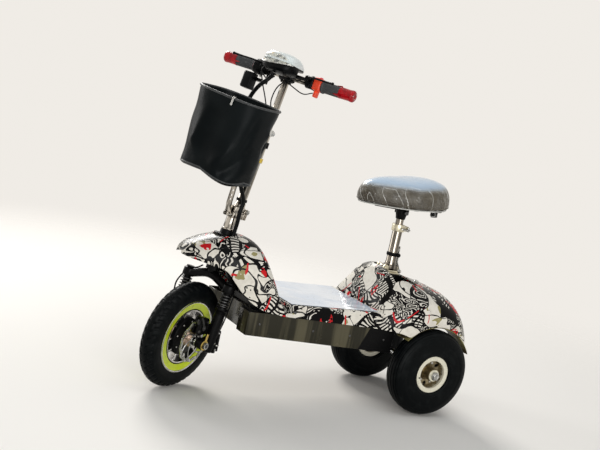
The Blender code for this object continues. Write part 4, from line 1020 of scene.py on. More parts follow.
def saddle_post():
    post = shifted(soft_lathe([(0.0125, 0.45), (0.0125, 0.6065)], 0.0006, 48), POST_X, 0, 0)
    piece("seat_post_tube", post, "post_chrome", "saddle", ["seat_post"], place=CHASSIS)
    tube = join(block(0.0802, 0.1133, -0.0185, 0.0185, 0.4131, 0.429, 0.0016),
            pin(0.0085, -0.0146, 0.0146, SEAT_PIVOT, 0.0006, 40),
            block(0.112, 0.13, -0.0144, 0.0144, 0.42, 0.4288, 0.0008),
            shifted(soft_lathe(mm((18.6, 428), (17.2, 436), (15.8, 440), (15.8, 560), (12.9, 560), (12.9, 431)),
            0.0005, 56, True), POST_X, 0, 0))
    piece("seat_tube_chromed", tube, "post_chrome", "seat_frame", ["seat_tube"])
    band = shifted(soft_lathe(mm((15.9, 457), (18.2, 458), (18.8, 463), (18.2, 468), (15.9, 469)), 0.0006, 48),
            POST_X, 0, 0)
    band = join(band, along_y(soft_lathe(mm((4, 15), (6.6, 16), (6.6, 22), (4, 23)), 0.0006, 32),
            (POST_X - 0.011, 0, 0.463)))
    piece("seat_tube_band", band, "rubber", "seat_frame")
    collar = join(shifted(soft_ring(0.0161, 0.0205, 0.538, 0.56, 0.0008, 56), POST_X, 0, 0),
            *(block(0.064, 0.0815, y, y + 0.0068, 0.54, 0.556, 0.0012) for y in (0.0012, -0.008)),
            along_y(hexagon(0.0056, -0.0122, -0.008), (0.069, 0, 0.547)))
    piece("seat_collar_ring", collar, "cream_zinc", "seat_frame", ["seat_collar"])
    path = smooth_path(mm((69, 12.5, 547), (69, 20.5, 547.2), (75, 27.5, 547.5), (87, 30, 548), (104, 31, 549)),
            8)
    lever = join(sweep(path, lambda t: 0.0026 + 0.001 * t, 16, flat=0.8),
            rod((0.069, 0.0125, 0.5405), (0.069, 0.0125, 0.5535), 0.0042, 28, 0.0006))
    piece("seat_quick_lever", lever, "silver", "seat_quick_lever", ["seat_collar_lever"])


def saddle_hinge():
    foot = join(block(0.074, 0.148, -0.022, 0.022, 0.4008, 0.406, 0.001),
            block(0.078, 0.117, -0.019, 0.019, 0.4055, 0.4128, 0.0014),
            block(0.0665, 0.079, -0.0035, 0.0035, 0.401, 0.412, 0.001),
            pin(0.004, -0.0225, 0.0225, SEAT_PIVOT, 0.0005, 28))
    ears = []
    for s in (1, -1):
        ears.append(hinge_ear(s, 0.126, 0.418, 0.4055, 0.0115))
        ears.append(along_y(hexagon(0.0062, s * 0.021 - 0.0014, s * 0.021 + 0.0014), SEAT_PIVOT))
    for x in (0.0795, 0.1425):
        for y in (-0.0175, 0.0175):
            ears.append(shifted(dome_bolt(0.0034, 0.0026), x, y, 0.4058))
    piece("seat_hinge_foot", join(foot, *ears), "cream_zinc", "chassis", ["seat_hinge_base"])
    plate = skin([[(0.062, y, 0.413), (0.0662, y, 0.413), (0.079, y, 0.44), (0.0802, y, 0.49),
            (0.0772, y, 0.49), (0.0757, y, 0.441)] for y in (-0.0065, 0.0065)])
    eye = [pin(0.0062, y, y + 0.006, (0.064, 0, 0.41), 0.0005, 32) for y in (-0.01, 0.004)]
    piece("seat_latch_plate", join(soften(plate, 0.0007, 2), *eye), "silver", "seat_latch",
            ["seat_latch_lever"])


# front wheel

def front_tyre_surface():
    """Tyre with staggered tread blocks; grooves are pressed into a smooth carcass."""
    half = mm((103, 12.5), (109.4, 20.5), (109.8, 24.5), (118, 25.8), (128, 26.5), (136, 25.9), (143, 24.5),
            (149.5, 20.8), (155, 14), (158.2, 6.8))
    line = [Vector((r, y, 0)) for r, y in half] + [Vector((0.159, 0, 0))]
    line += [Vector((r, -y, 0)) for r, y in reversed(half)]
    line = smooth_path(line, 4)
    pitches = 42
    loops = []
    for p in line:
        loops.append([polar(p.x - tread_depth(a, p.x, p.y, pitches), a, p.y) for a in angles(pitches * 12)])
    return skin(loops, wrap=True)


def tread_depth(angle, r, y, pitches):
    """Groove depth at a place on the tread: shoulder blocks, zigzag rows and a middle rib."""
    foot = 0.1445
    seam_y = 0.0115
    deepest = 0.0034
    if r < foot:
        return 0.0
    fade = min(1.0, (r - foot) / 0.002)
    across = abs(y)
    row, slant, gap = (0.5, (across - seam_y) * 22.0, 0.3) if across > seam_y else (0.0, across * 28.0, 0.2)
    phase = (angle * pitches / math.tau + row + slant) % 1.0
    side = min(phase, 1.0 - phase)
    crosswise = max(0.0, min(1.0, (gap / 2 + 0.07 - side) / 0.1))
    lengthwise = max(0.0, 1.0 - abs(across - seam_y) / 0.0022)
    return deepest * fade * max(crosswise if across > 0.004 else 0.0, lengthwise)


def wavy_disc():
    """Thin rotor: scalloped rim band, drilled, on slim curved arms."""
    waves = 14
    edges = ((0.0648, 0.0014, 0.0515), (0.0648, 0.0014, 0.0535), (0.055, 0.0012, 0.0535),
            (0.055, 0.0012, 0.0515))
    band = skin([[polar(r + swing * math.cos(waves * a), a, z) for a in angles(240)] for r, swing, z in edges],
            wrap=True)
    drills = [shifted(lathe([(0.0018, 0.045), (0.0018, 0.06)], 12), *polar(0.06 + 0.0022 * (k % 3 - 1), a, 0))
            for k, a in enumerate(angles(42))]
    band = cut(band, join(*drills))
    path = [polar(0.019 + 0.037 * t, 0.75 * t, 0.0525) for t in (j / 8 for j in range(9))]
    arms = [spun(sweep(path, 0.0022, 8, flat=0.4), a) for a in angles(7)]
    plate = soft_ring(0.0068, 0.0215, 0.0514, 0.0536, 0.0003, 56)
    return join(band, plate, *arms)


def rim_lip(s):
    """Bright machined lip outside the lime band and a thin bright ring inside it."""
    lip = lathe([(0.1034, s * 0.0242), (0.1084, s * 0.0244), (0.1088, s * 0.0249), (0.1076, s * 0.0254),
            (0.1056, s * 0.0253), (0.1038, s * 0.0249)], 128, wrap=True)
    inner = lathe([(0.0772, s * 0.0194), (0.0812, s * 0.0202), (0.0814, s * 0.0212), (0.0776, s * 0.0208)], 128,
            wrap=True)
    return join(lip, inner)


def front_wheel():
    piece("block_tread_tyre", along_y(front_tyre_surface()), "tyre", "front_wheel", ["front_tyre"], 40.0)
    half = mm((108.5, 21.5), (108.6, 24.2), (106, 24.6), (98.8, 24.2), (98, 23.6), (86, 21.9), (85, 21.4),
            (84.6, 20), (84.6, 11))
    lime = lathe(mirrored(half) + [(0.0985, -0.0085), (0.0985, 0.0085)], 128, wrap=True)
    piece("lime_rim", along_y(lime), "lime", "front_wheel", ["front_rim"], 40.0)
    piece("rim_bright_edges", along_y(join(rim_lip(1), rim_lip(-1))), "pale_plate", "front_wheel", angle=60.0)
    well = mm((84.5, 19.6), (81.5, 20), (77.5, 19.2), (76.5, 17), (76.5, 11))
    piece("rim_inner_wall", along_y(lathe(mirrored(well), 128, wrap=True)), "motor", "front_wheel", angle=40.0)
    plan = mirrored(mm((48, 1.4), (60, 2.6), (69, 4.6), (77.5, 7.2), (79, 7.6)))
    arms = [spun(plate_z(plan, -0.015, 0.015, 0.0014), a) for a in angles(10, 0.3)]
    piece("wheel_spokes", along_y(join(*arms)), "pale_plate", "front_wheel")
    shell = soft_lathe(mm((6.6, -56), (12, -56), (12.5, -26), (30, -24), (52, -22), (55.2, -20), (56, -17),
            (56, 17), (55.2, 20), (52, 22), (30, 24), (26.2, 25.2), (26.2, 20), (6.6, 20)), 0.0008, 96, True)
    piece("hub_motor_shell", along_y(shell), "motor", "front_wheel")
    flange = soft_lathe(mm((6.6, 20.4), (25.8, 20.4), (26.2, 29), (24.4, 33), (22, 42), (19.6, 45), (19, 51.2),
            (6.6, 51.2)), 0.0006, 72, True)
    ribs = [rod(polar(0.0215, a, 0.027), polar(0.019, a, 0.05), 0.0034, 16, 0.0006) for a in angles(6)]
    piece("disc_flange_bronze", along_y(join(flange, *ribs)), "bronze", "front_wheel")
    bolts = []
    for s in (1, -1):
        for a in angles(8):
            turn = Matrix.Translation(polar(0.046, a, s * 0.0224))
            if s < 0:
                turn = turn @ Matrix.Rotation(math.pi, 4, "X")
            bolts.append(moved(dome_bolt(0.0026, 0.002), turn))
    bolts += [shifted(dome_bolt(0.0028, 0.0022), *polar(0.0165, a, 0.0536)) for a in angles(6)]
    piece("hub_motor_bolts", along_y(join(*bolts)), "zinc", "front_wheel")
    piece("rotor_wavy", along_y(wavy_disc()), "silver", "front_wheel", ["brake_disc"])


def front_axle_set():
    axle = [soft_lathe(mm((4, -97.8), (6, -96.5), (6, 96.5), (4, 97.8)), 0.0003, 40)]
    for s in (1, -1):
        axle.append(hexagon(0.0104, *sorted((s * 0.088, s * 0.0948))))
    piece("front_axle_nuts", along_y(join(*axle)), "dark_metal", "fork_lower", ["front_axle"], place=FRONT_HUB)
    collars = [ring(r_in, r_out, s * y - half, s * y + half, 48) for s in (1, -1)
            for r_in, r_out, y, half in ((0.0062, 0.0098, 0.0956, 0.0006), (0.0106, 0.0128, 0.0605, 0.0022))]
    piece("front_axle_rings", along_y(join(*collars)), "silver", "fork_lower", place=FRONT_HUB)
    tongue = block(-0.0044, 0.004, 0.0872, 0.089, 0.008, 0.034, 0.0008)
    washer = along_y(soft_ring(0.0063, 0.015, 0.0871, 0.0892, 0.0005, 56))
    piece("torque_washer", join(washer, tongue), "brass", "fork_lower", place=FRONT_HUB)
    body = join(block(0.018, 0.062, 0.055, 0.0655, -0.299, -0.2505, 0.0042),
            block(0.018, 0.062, 0.043, 0.05, -0.299, -0.2505, 0.003),
            block(0.023, 0.057, 0.0432, 0.065, -0.255, -0.249, 0.0024))
    piece("caliper_body", body, "black", "fork_lower", ["brake_caliper"])
    trims = [along_y(hexagon(0.005, 0.0655, 0.069), (0.0545, 0.0, -0.29)),
            along_y(hexagon(0.0044, 0.0655, 0.068), (0.025, 0.0, -0.26)),
            rod((0.0605, 0.06, -0.27), (0.069, 0.06, -0.256), 0.003, 24, 0.0006)]
    piece("caliper_fittings", join(*trims), "dark_metal", "fork_lower")
    arm = join(pin(0.008, 0.0658, 0.07, CALIPER_PIVOT, 0.0005, 36),
            prism_y(mm((33, -276), (40.5, -281), (65.5, -250), (61, -246.5)), 0.066, 0.0695, 0.0006),
            along_y(hexagon(0.0045, 0.07, 0.0722), CALIPER_PIVOT))
    piece("caliper_arm_plate", arm, "dark_metal", "caliper_lever", ["caliper_arm"])


# fork

def fork():
    half = [(0.0, -0.012, -0.1338), (-0.001, -0.035, -0.141), (-0.002, -0.058, -0.15), (LEG_X, -LEG_Y, -0.1545)]
    bend = smooth_path(list(reversed(half)) + [(x, -y, z) for x, y, z in half], 5)
    solids = [sweep(bend, 0.0129, 32), soft_lathe([(0.0125, -0.139), (0.0125, 0.04)], 0.0004, 48)]
    caps = []
    for s in (1, -1):
        spot = Matrix.Translation((LEG_X, s * LEG_Y, 0))
        solids.append(moved(soft_lathe(mm((16.5, -165), (18.5, -162.5), (18.5, -143), (13.2, -139.2),
                (11.8, -138.5)), 0.0009, 56), spot))
        solids.append(moved(lathe([(0.0105, -0.262), (0.0105, -0.16)], 48), spot))
        caps.append(moved(soft_lathe(mm((11.8, -138.4), (13, -137.8), (13, -135.2), (12.2, -134.5)), 0.0003,
                48), spot))
    piece("fork_yoke", join(*solids), "black", "steering", ["fork_crown"])
    piece("fork_cap_knobs", join(*caps), "plastic", "steering")
    for name, s in SIDES:
        spot = Matrix.Translation((LEG_X, s * LEG_Y, 0))
        ribs = mm((13, -344), (15.5, -342.5), (16.5, -330), (16.5, -245), (15.6, -230))
        for k in range(4):
            z = -0.2282 + k * 0.0026
            ribs += [(0.0156, z), (0.0168, z + 0.0008), (0.0156, z + 0.0016)]
        ribs += mm((18.4, -216.5), (18.4, -207.8), (10.9, -207.8), (10.9, -290))
        leg = moved(soft_lathe(ribs, 0.0003, 56), spot)
        y0 = min(s * 0.067, s * 0.081)
        drop = prism_y([(LEG_X, -0.343), (HUB_X - 0.004, -0.3375), (HUB_X, -0.307), (LEG_X, -0.292)], y0,
                y0 + 0.014, 0.002)
        boss = pin(0.0155, s * 0.064, s * 0.0868, FRONT_AXLE, 0.001, 48)
        stub = pin(0.0105, s * 0.0572, s * 0.065, FRONT_AXLE, 0.0006, 40)
        solids = [leg, drop, boss, stub]
        if s > 0:
            solids.append(block(0.005, 0.0176, 0.061, 0.0655, -0.296, -0.264, 0.001))
        piece("fork_slider_" + name, join(*solids), "black", "fork_lower", ["fork_leg_" + name])
        spring_coil(name, s)
    rear = join(rod((-0.016, 0.086, -0.275), (-0.024, 0.092, -0.335), 0.0052, 28, 0.0012),
            block(-0.024, -0.01, 0.08, 0.092, -0.343, -0.32, 0.0022),
            block(-0.023, -0.008, 0.08, 0.09, -0.296, -0.28, 0.0022))
    piece("fork_rear_fitting", rear, "black", "fork_lower")
    rings = [rod((-0.0166, 0.0866, -0.28), (-0.0172, 0.087, -0.284), 0.0064, 28, 0.0006),
            rod((-0.0216, 0.0902, -0.316), (-0.0222, 0.0906, -0.32), 0.0064, 28, 0.0006),
            along_y(hexagon(0.0046, 0.092, 0.095), (-0.017, 0.0, -0.332))]
    piece("fork_rear_rings", join(*rings), "silver", "fork_lower")


def spring_coil(name, side):
    """Fork spring with flat end turns."""
    wire = 0.0019
    turns = 5.0
    ends = 0.9
    height = SPRING_TOP - wire - (SPRING_FOOT + wire)
    closed = 2.35 * wire / height
    points = []
    steps = int(turns * 28)
    for i in range(steps + 1):
        turn = turns * i / steps
        if turn < ends:
            level = closed * turn / ends
        elif turn > turns - ends:
            level = 1 - closed * (turns - turn) / ends
        else:
            level = closed + (1 - 2 * closed) * (turn - ends) / (turns - 2 * ends)
        a = math.tau * turn
        points.append(Vector((LEG_X + 0.0147 * math.cos(a), side * LEG_Y + 0.0147 * math.sin(a),
                SPRING_FOOT + wire + 0.0003 + (height - 0.0003) * level)))
    obj = piece("fork_coil_" + name, sweep(points, wire, 12), "dark_metal", "steering", ["fork_spring_" + name],
            60.0)
    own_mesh(obj)


# stem

def stem_foot():
    plug = cut(soft_lathe(mm((12.8, -16), (33.8, -16), (33.8, -11.2), (32, -10.4), (18.6, -9), (18, 3.7),
            (12.8, 3.7)), 0.0004, 72, True), rod((0.0, 0.0255, -0.03), (0.0, 0.0255, 0.02), 0.0068, 32))
    piece("steering_collar_plug", plug, "plastic", "steering", ["steering_plug"])
    solids = [soft_lathe([(0.0152, 0.004), (0.0152, 0.045)], 0.0008, 56),
            soft_lathe(mm((17.2, 4.4), (17.6, 5.6), (17.6, 9), (16, 10.4)), 0.0004, 56),
            block(-0.033, 0.022, -0.019, 0.019, 0.043, 0.06, 0.0022),
            block(0.02, 0.033, -0.004, 0.004, 0.044, 0.056, 0.0012),
            pin(0.0045, -0.0215, 0.0215, STEM_PIVOT, 0.0004, 32)]
    knobs = []
    for s in (1, -1):
        solids.append(hinge_ear(s, -0.036, 0.069, 0.044, 0.008))
        knobs.append(along_y(hexagon(0.0078, *sorted((s * 0.02, s * 0.0255))), STEM_PIVOT))
    piece("stem_foot_hinge", join(*solids), "chrome", "steering", ["stem_hinge_base"])
    piece("stem_hinge_nuts", join(*knobs), "silver", "steering")


def stem_mast():
    tube = shifted(soft_lathe(mm((16.8, 76), (16, 88), (14, 92), (14, 300), (11.2, 300), (11.2, 78)), 0.0005,
            64, True), STEM_X, 0, 0)
    solids = [block(-0.0275, 0.022, -0.0185, 0.0185, 0.0603, 0.077, 0.0022),
            pin(0.0082, -0.0146, 0.0146, STEM_PIVOT, 0.0005, 40),
            block(-0.036, -0.026, -0.0144, 0.0144, 0.066, 0.0768, 0.001), tube]
    piece("stem_mast_tube", join(*solids), "chrome", "stem", ["stem_tube"])
    for name, z, half, look in (("lower", 0.0985, 0.00425, "rubber"), ("middle", 0.224, 0.006, "yellow")):
        wrap = soft_lathe([(0.0141, z - half), (0.0158, z - half), (0.0164, z), (0.0158, z + half),
                (0.0141, z + half)], 0.0005, 48)
        piece("mast_band_" + name, shifted(wrap, STEM_X, 0, 0), look, "stem")
    tag = block(STEM_X - 0.024, STEM_X - 0.013, -0.0035, 0.006, 0.217, 0.231, 0.001)
    piece("mast_band_tab", tag, "yellow", "stem")
    collar = [shifted(soft_ring(0.0113, 0.0185, 0.3003, 0.318, 0.001, 56), STEM_X, 0, 0)]
    for s in (1, -1):
        collar.append(block(STEM_X - 0.03, STEM_X - 0.0145, *sorted((s * 0.0012, s * 0.0075)), 0.302, 0.316,
                0.0014))
        collar.append(along_y(hexagon(0.0052, *sorted((s * 0.007, s * 0.0108))), (STEM_X - 0.024, 0, 0.309)))
    piece("mast_clamp_ring", join(*collar), "silver", "stem", ["height_collar"])
    plate = skin([[(0.027, y, 0.059), (0.033, y, 0.056), (0.042, y, 0.08), (0.047, y, 0.138),
            (0.0435, y, 0.1385), (0.0375, y, 0.082)] for y in (-0.0085, 0.0085)])
    slots = [rod((0.02, 0, z), (0.06, 0, z), 0.0034, 20) for z in (0.092, 0.104, 0.118)]
    plate = soften(cut(plate, *slots), 0.0005, 2, 50.0)
    eyes = [pin(0.0065, y, y + 0.0058, STEM_LATCH_PIN, 0.0006, 36) for y in (-0.0105, 0.0047)]
    neck = [block(0.0262, 0.033, y, y + 0.0038, 0.052, 0.06, 0.0006) for y in (-0.0085, 0.0047)]
    piece("stem_latch_plate", join(plate, *eyes, *neck), "chrome", "stem_latch", ["stem_latch_lever"])
    axle = pin(0.003, -0.0125, 0.0125, STEM_LATCH_PIN, 0.0004, 24)
    piece("stem_latch_pin", axle, "silver", "steering")


def riser():
    tube = shifted(soft_lathe([(0.0108, 0.125), (0.0108, 0.469)], 0.0005, 56), STEM_X, 0, 0)
    piece("riser_chromed", tube, "chrome", "handlebars", ["riser_tube"])
    clamp = join(along_y(soft_ring(0.0113, 0.0178, -0.021, 0.021, 0.0012, 56), BAR_MIDDLE),
            block(STEM_X - 0.01, STEM_X + 0.01, -0.014, 0.014, BAR_Z - 0.023, BAR_Z - 0.012, 0.002),
            rod((STEM_X - 0.02, 0.0, BAR_Z - 0.008), (STEM_X - 0.013, 0.0, BAR_Z - 0.008), 0.005, 28, 0.0008))
    piece("bar_clamp_casting", clamp, "plastic", "handlebars")
    bar = pin(0.0111, -0.225, 0.225, BAR_MIDDLE, 0.0006, 56)
    piece("bar_tube", bar, "chrome", "handlebars", ["handlebar"])


# handlebar controls

def grip_sleeve(inner, outer):
    """Ribbed rubber sleeve with an inner flange."""
    profile = [(0.0113, inner), (0.0182, inner), (0.0188, inner + 0.0018), (0.0186, inner + 0.004),
            (0.016, inner + 0.007)]
    steps = 22
    for k in range(steps):
        y = inner + 0.0085 + (outer - inner - 0.0105) * k / (steps - 1)
        profile += [(0.0161, y), (0.0154, y + 0.0011)]
    profile += [(0.0158, outer), (0.0113, outer)]
    return lathe(profile, 56, wrap=True)


def grip_end(inner):
    """Glossy cap over the outer end of a grip."""
    profile = [(0.0113, inner), (0.0164, inner), (0.0168, inner + 0.001), (0.0163, inner + 0.006),
            (0.016, BAR_HALF - 0.014), (0.017, BAR_HALF - 0.009), (0.0166, BAR_HALF - 0.004),
            (0.014, BAR_HALF - 0.001), (0.009, BAR_HALF), (0.006, BAR_HALF - 0.0008)]
    return lathe(profile, 56)


def grips():
    red_from = 0.183
    for name, side, body, inner, node in (("left", 1, "handlebars", 0.1245, "grip_left"),
            ("right", -1, "throttle", 0.1166, "throttle_grip")):
        turn = BAR if side > 0 else BAR @ Matrix.Rotation(math.pi, 4, "Z")
        piece("grip_sleeve_" + name, along_y(grip_sleeve(inner, red_from)), "grip", body, [node], 25.0,
                place=turn)
        piece("grip_cap_" + name, along_y(grip_end(red_from + 0.0002)), "red", body, angle=40.0, place=turn)
        prongs = []
        for k in range(3):
            a = math.radians(40 + 120 * k)
            path = [Vector(polar(0.0158, a, red_from - 0.016 + 0.018 * t)) for t in (j / 6 for j in range(7))]
            prongs.append(sweep(path, lambda t: 0.0012 + 0.0032 * t, 12, flat=0.5))
        piece("grip_cap_prongs_" + name, along_y(join(*prongs)), "red", body, place=turn)
        bolts = [shifted(dome_bolt(0.0016, 0.0008), *polar(0.0085, a, BAR_HALF - 0.0002))
                for a in (math.radians(120 * k) for k in range(3))]
        piece("grip_cap_screws_" + name, along_y(join(*bolts)), "silver", body, place=turn)
    flange = lathe(mm((11.3, 121), (19, 121.2), (19.6, 122.4), (19, 123.8), (11.3, 124)), 56, wrap=True)
    piece("grip_flange_right", along_y(flange), "red", "handlebars",
            place=BAR @ Matrix.Rotation(math.pi, 4, "Z") @ Matrix.Translation((0, -0.0078, 0)))


def left_controls():
    pod = join(block(-0.02, 0.02, 0.0975, 0.1235, -0.017, 0.02, 0.005),
            block(-0.008, 0.012, 0.105, 0.115, -0.036, -0.016, 0.003))
    pod = cut(pod, shifted(lathe([(0.0068, 0.015), (0.0068, 0.03)], 32), -0.006, 0.105, 0))
    piece("switch_pod_orange", pod, "orange", "handlebars", ["switch_pod"], place=BAR)
    half = join(block(-0.0196, 0.0196, 0.085, 0.0972, -0.0176, 0.0196, 0.0045),
            along_y(soft_ring(0.0115, 0.017, 0.07, 0.0848, 0.001, 48)),
            block(0.01, 0.03, 0.07, 0.0862, 0.0, 0.0065, 0.0016))
    piece("switch_pod_inner", half, "plastic", "handlebars", place=BAR)
    push = shifted(soft_lathe(mm((6.4, 17.5), (6.4, 22.5), (5.2, 24.3), (2, 24.6)), 0.0004, 40), -0.006, 0.105,
            0)
    piece("horn_push_cap", push, "pink", "horn_push", ["horn_button"])
    rocker = block(-0.018, -0.014, 0.09, 0.102, 0.008, 0.014, 0.001)
    piece("light_rocker", rocker, "plastic", "handlebars", place=BAR)


def right_controls():
    shell = join(along_y(soft_lathe(mm((11.5, -115), (20.5, -115), (22, -112), (22, -90), (19, -87),
            (11.5, -87)), 0.001, 56, True)), along_y(soft_ring(0.0115, 0.017, -0.0872, -0.07, 0.001, 56)),
            block(0.01, 0.03, -0.0862, -0.07, 0.0, 0.0065, 0.0016))
    ribs = [along_y(lathe([(0.0216, -y), (0.0226, -y - 0.0007), (0.0216, -y - 0.0014)], 56))
            for y in (0.092, 0.0955, 0.099, 0.1025, 0.106, 0.1095)]
    piece("twist_housing", join(shell, *ribs), "plastic", "handlebars", ["throttle_housing"], place=BAR)
    button = rod((-0.01, -0.1, -0.017), (-0.016, -0.1, -0.025), 0.005, 28, 0.001)
    piece("light_push_silver", button, "silver", "handlebars", place=BAR)
    hook = smooth_path(mm((4, -78, 16.5), (15, -76, 20), (26, -74, 15), (30, -73, 6)), 8)
    piece("perch_hook", sweep(hook, 0.0036, 14), "plastic", "handlebars", place=BAR)


def brake_levers():
    for name, s in SIDES:
        z = 0.0068
        eye = shifted(soft_lathe([(0.007, z), (0.007, z + 0.007)], 0.0008, 36), 0.023, s * 0.078, 0)
        path = smooth_path([(0.023, s * 0.078, z + 0.0038), (0.035, s * 0.09, z + 0.0042),
                (0.041, s * 0.118, z + 0.005), (0.039, s * 0.15, z + 0.005), (0.045, s * 0.176, z + 0.005)], 8)
        blade = sweep(path, lambda t: 0.0038 - 0.0008 * math.sin(math.pi * t), 16, flat=0.9)
        ball = shifted(soft_lathe(mm((0.8, -4.2), (3, -3.4), (4.3, 0), (3, 3.4), (0.8, 4.2)), 0.0001, 28),
                0.045, s * 0.175, z + 0.005)
        piece("brake_blade_" + name, join(eye, blade, ball), "plastic", "brake_" + name,
                ["brake_lever_" + name], place=BAR)
        bolt = shifted(hexagon(0.0044, 0.0142, 0.0168), 0.023, s * 0.078, 0)
        piece("brake_pivot_bolt_" + name, bolt, "silver", "handlebars", place=BAR)


def lamp_narrowing(y):
    """Share of the headlight's full profile that is left at a distance from its middle."""
    return 0.46 + 0.54 * (1 - abs(y / 0.0503) ** 2.6) ** 0.5


def lamp_scaled(x, z, share):
    return (LAMP_X + (x - LAMP_X) * share, LAMP_Z + (z - LAMP_Z) * share)


def lamp_loops(steps, scale=1.0, low=None):
    """Rounded headlight body: sections across its width, superellipse-like in plan."""
    outline = mm((-36, 500), (-36, 506), (-30, 516), (-10, 529), (12, 535), (36, 535.2), (59, 530), (68, 520),
            (74, 502), (77.8, 485), (73, 477), (58, 472.2), (30, 472), (7, 472.2), (6, 480), (6, 499.5))
    if low is not None:
        outline = [(x, max(z, low)) for x, z in outline]
    loops = []
    for i in range(steps + 1):
        u = -1.0 + 2.0 * i / steps
        y = 0.05 * math.sin(u * math.pi / 2)
        share = lamp_narrowing(y) * scale
        loops.append([(x, y * scale, z) for x, z in (lamp_scaled(x, z, share) for x, z in outline)])
    return loops


def lamp_point(q, u, grow):
    """Point on the headlight's front: q runs up its profile, u from the right side to the left one."""
    line = mm((77.5, 487), (74, 502), (68, 520), (56, 531), (38, 535.2))
    span = min(3, int(q * 4))
    share = q * 4 - span
    x, z = (a + (b - a) * share for a, b in zip(line[span], line[span + 1]))
    y = -0.0475 + 0.097 * u
    x, z = lamp_scaled(x, z, lamp_narrowing(y) * (1 + grow))
    return Vector((x, y * (1 + grow), z))


def lamp_front(low, high, inset):
    """Patch wrapped round the front of the headlight: tall at one end, narrow at the other."""
    loops = []
    for i in range(33):
        u = inset + (1 - 2 * inset) * i / 32
        foot = 0.1 + 0.16 * u * u
        top = 0.95 - 0.62 * u ** 1.5
        swell = math.sin(math.pi * i / 32) ** 0.4 if 0 < i < 32 else 0.0
        under, over = [], []
        for j in range(13):
            q = foot + inset + (top - foot - 2 * inset) * j / 12
            bulge = swell * (math.sin(math.pi * j / 12) ** 0.4 if 0 < j < 12 else 0.0)
            under.append(lamp_point(q, u, low))
            over.append(lamp_point(q, u, low + 0.01 + (high - low - 0.01) * bulge))
        loops.append(over + under[::-1])
    return skin(loops)


def lamp_edge(grow):
    return [lamp_point(0.1 + 0.16 * (i / 24) ** 2, i / 24, grow) for i in range(25)]


def headlight():
    shell = skin(lamp_loops(28))
    piece("headlight_shell", soften(shell, 0.0012, 2, 40.0), "plastic", "handlebars", ["headlight_housing"],
            50.0)
    cap = skin(lamp_loops(28, 1.012, 0.5065))
    piece("headlight_cap", soften(cap, 0.001, 2, 40.0), "lamp_cap", "handlebars", angle=50.0)
    piece("lamp_reflector", lamp_front(0.004, 0.03, 0.03), "reflector", "handlebars", angle=60.0)
    piece("lamp_lens", lamp_front(0.034, 0.072, 0.0), "lens", "handlebars", ["headlight_lens"], 60.0)
    piece("lamp_lower_trim", sweep(lamp_edge(0.05), 0.0012, 10), "silver", "handlebars")


def hanging_box():
    strap = join(along_y(soft_ring(0.0113, 0.0165, -0.069, -0.059, 0.0008, 48), BAR_MIDDLE),
            block(STEM_X - 0.003, STEM_X + 0.003, -0.0685, -0.0595, 0.44, 0.468, 0.0008),
            block(STEM_X - 0.003, 0.012, -0.1, -0.0595, 0.438, 0.447, 0.001))
    piece("hanging_box_strap", strap, "black", "handlebars", ["horn_box"])
    piece("hanging_box_case", block(0.0, 0.033, -0.113, -0.084, 0.407, 0.456, 0.003), "plastic", "handlebars")
    piece("hanging_box_face", block(0.003, 0.03, -0.116, -0.1132, 0.41, 0.453, 0.0012), "grey", "handlebars")


# bag

def bag_point(depth, width, z, back, t):
    c, s = superellipse(t, 3.0)
    share = (z - BAG_LOW) / BAG_TALL
    rim = -0.0065 - 0.011 * c - 0.0065 * s
    floor = 0.005 - 0.026 * max(0.0, c) * max(0.0, s)
    return Vector((back + BAG_REACH * depth * (1 + c), 0.108 * width * s, z + floor + (rim - floor) * share))


BAG_ROWS = [(0.84, 0.85, 0.139), (0.885, 0.892, 0.1425), (0.905, 0.91, 0.15), (0.93, 0.935, 0.2),
        (0.955, 0.965, 0.26), (0.975, 0.99, 0.31), (1.0, 1.008, 0.361), (1.003, 1.012, 0.368),
        (1.004, 1.014, 0.372)]

BAG_CREASES = [(0.6, 0.166, 1.4, 0.232, -0.0075, 0.016), (0.55, 0.232, 0.2, 0.176, 0.006, 0.014),
        (1.3, 0.345, 1.05, 0.235, -0.005, 0.018), (2.3, 0.33, 2.0, 0.25, -0.0055, 0.013),
        (2.45, 0.25, 1.85, 0.3, 0.0045, 0.012), (0.9, 0.15, 1.6, 0.185, 0.0045, 0.016),
        (5.05, 0.24, 4.95, 0.17, -0.005, 0.016), (4.3, 0.24, 4.8, 0.18, 0.005, 0.016),
        (3.7, 0.32, 4.1, 0.23, -0.005, 0.015), (6.15, 0.32, 5.95, 0.22, 0.006, 0.02),
        (5.95, 0.215, 6.2, 0.165, 0.0045, 0.014), (6.25, 0.32, 6.2, 0.18, -0.0055, 0.02)]


def crease_push(t, z):
    """How far the cloth stands in or out at an angle and height, from its creases and a slow sag."""
    total = 0.0
    for t0, z0, t1, z1, depth, width in BAG_CREASES:
        ax = (t - t0 + math.pi) % math.tau - math.pi
        bx = (t1 - t0 + math.pi) % math.tau - math.pi
        here = Vector((ax * 0.1, z - z0))
        line = Vector((bx * 0.1, z1 - z0))
        share = max(0.0, min(1.0, here.dot(line) / line.length_squared))
        gap = (here - line * share).length
        total += depth * math.exp(-(gap / width) ** 1.6)
    inner = max(0.0, min(1.0, (z - BAG_LOW) / 0.03)) * max(0.0, min(1.0, (0.361 - z) / 0.05))
    slow = 0.004 * noise.noise(Vector((math.cos(t) * 1.3, math.sin(t) * 1.3, z * 11)))
    return (total + slow - 0.0015) * inner


def bag_wall(inset, count=160, per_span=6):
    back = 0.0772
    loops = []
    for depth, width, z in smooth_path(BAG_ROWS, per_span):
        loop = []
        for t in angles(count):
            p = bag_point(depth, width, z, back, t)
            out = (p - Vector((back + BAG_REACH * depth, 0, z))).normalized()
            loop.append(p + out * ((crease_push(t, z) if p.x > 0.085 else 0.0) - inset))
        loops.append(loop)
    return loops


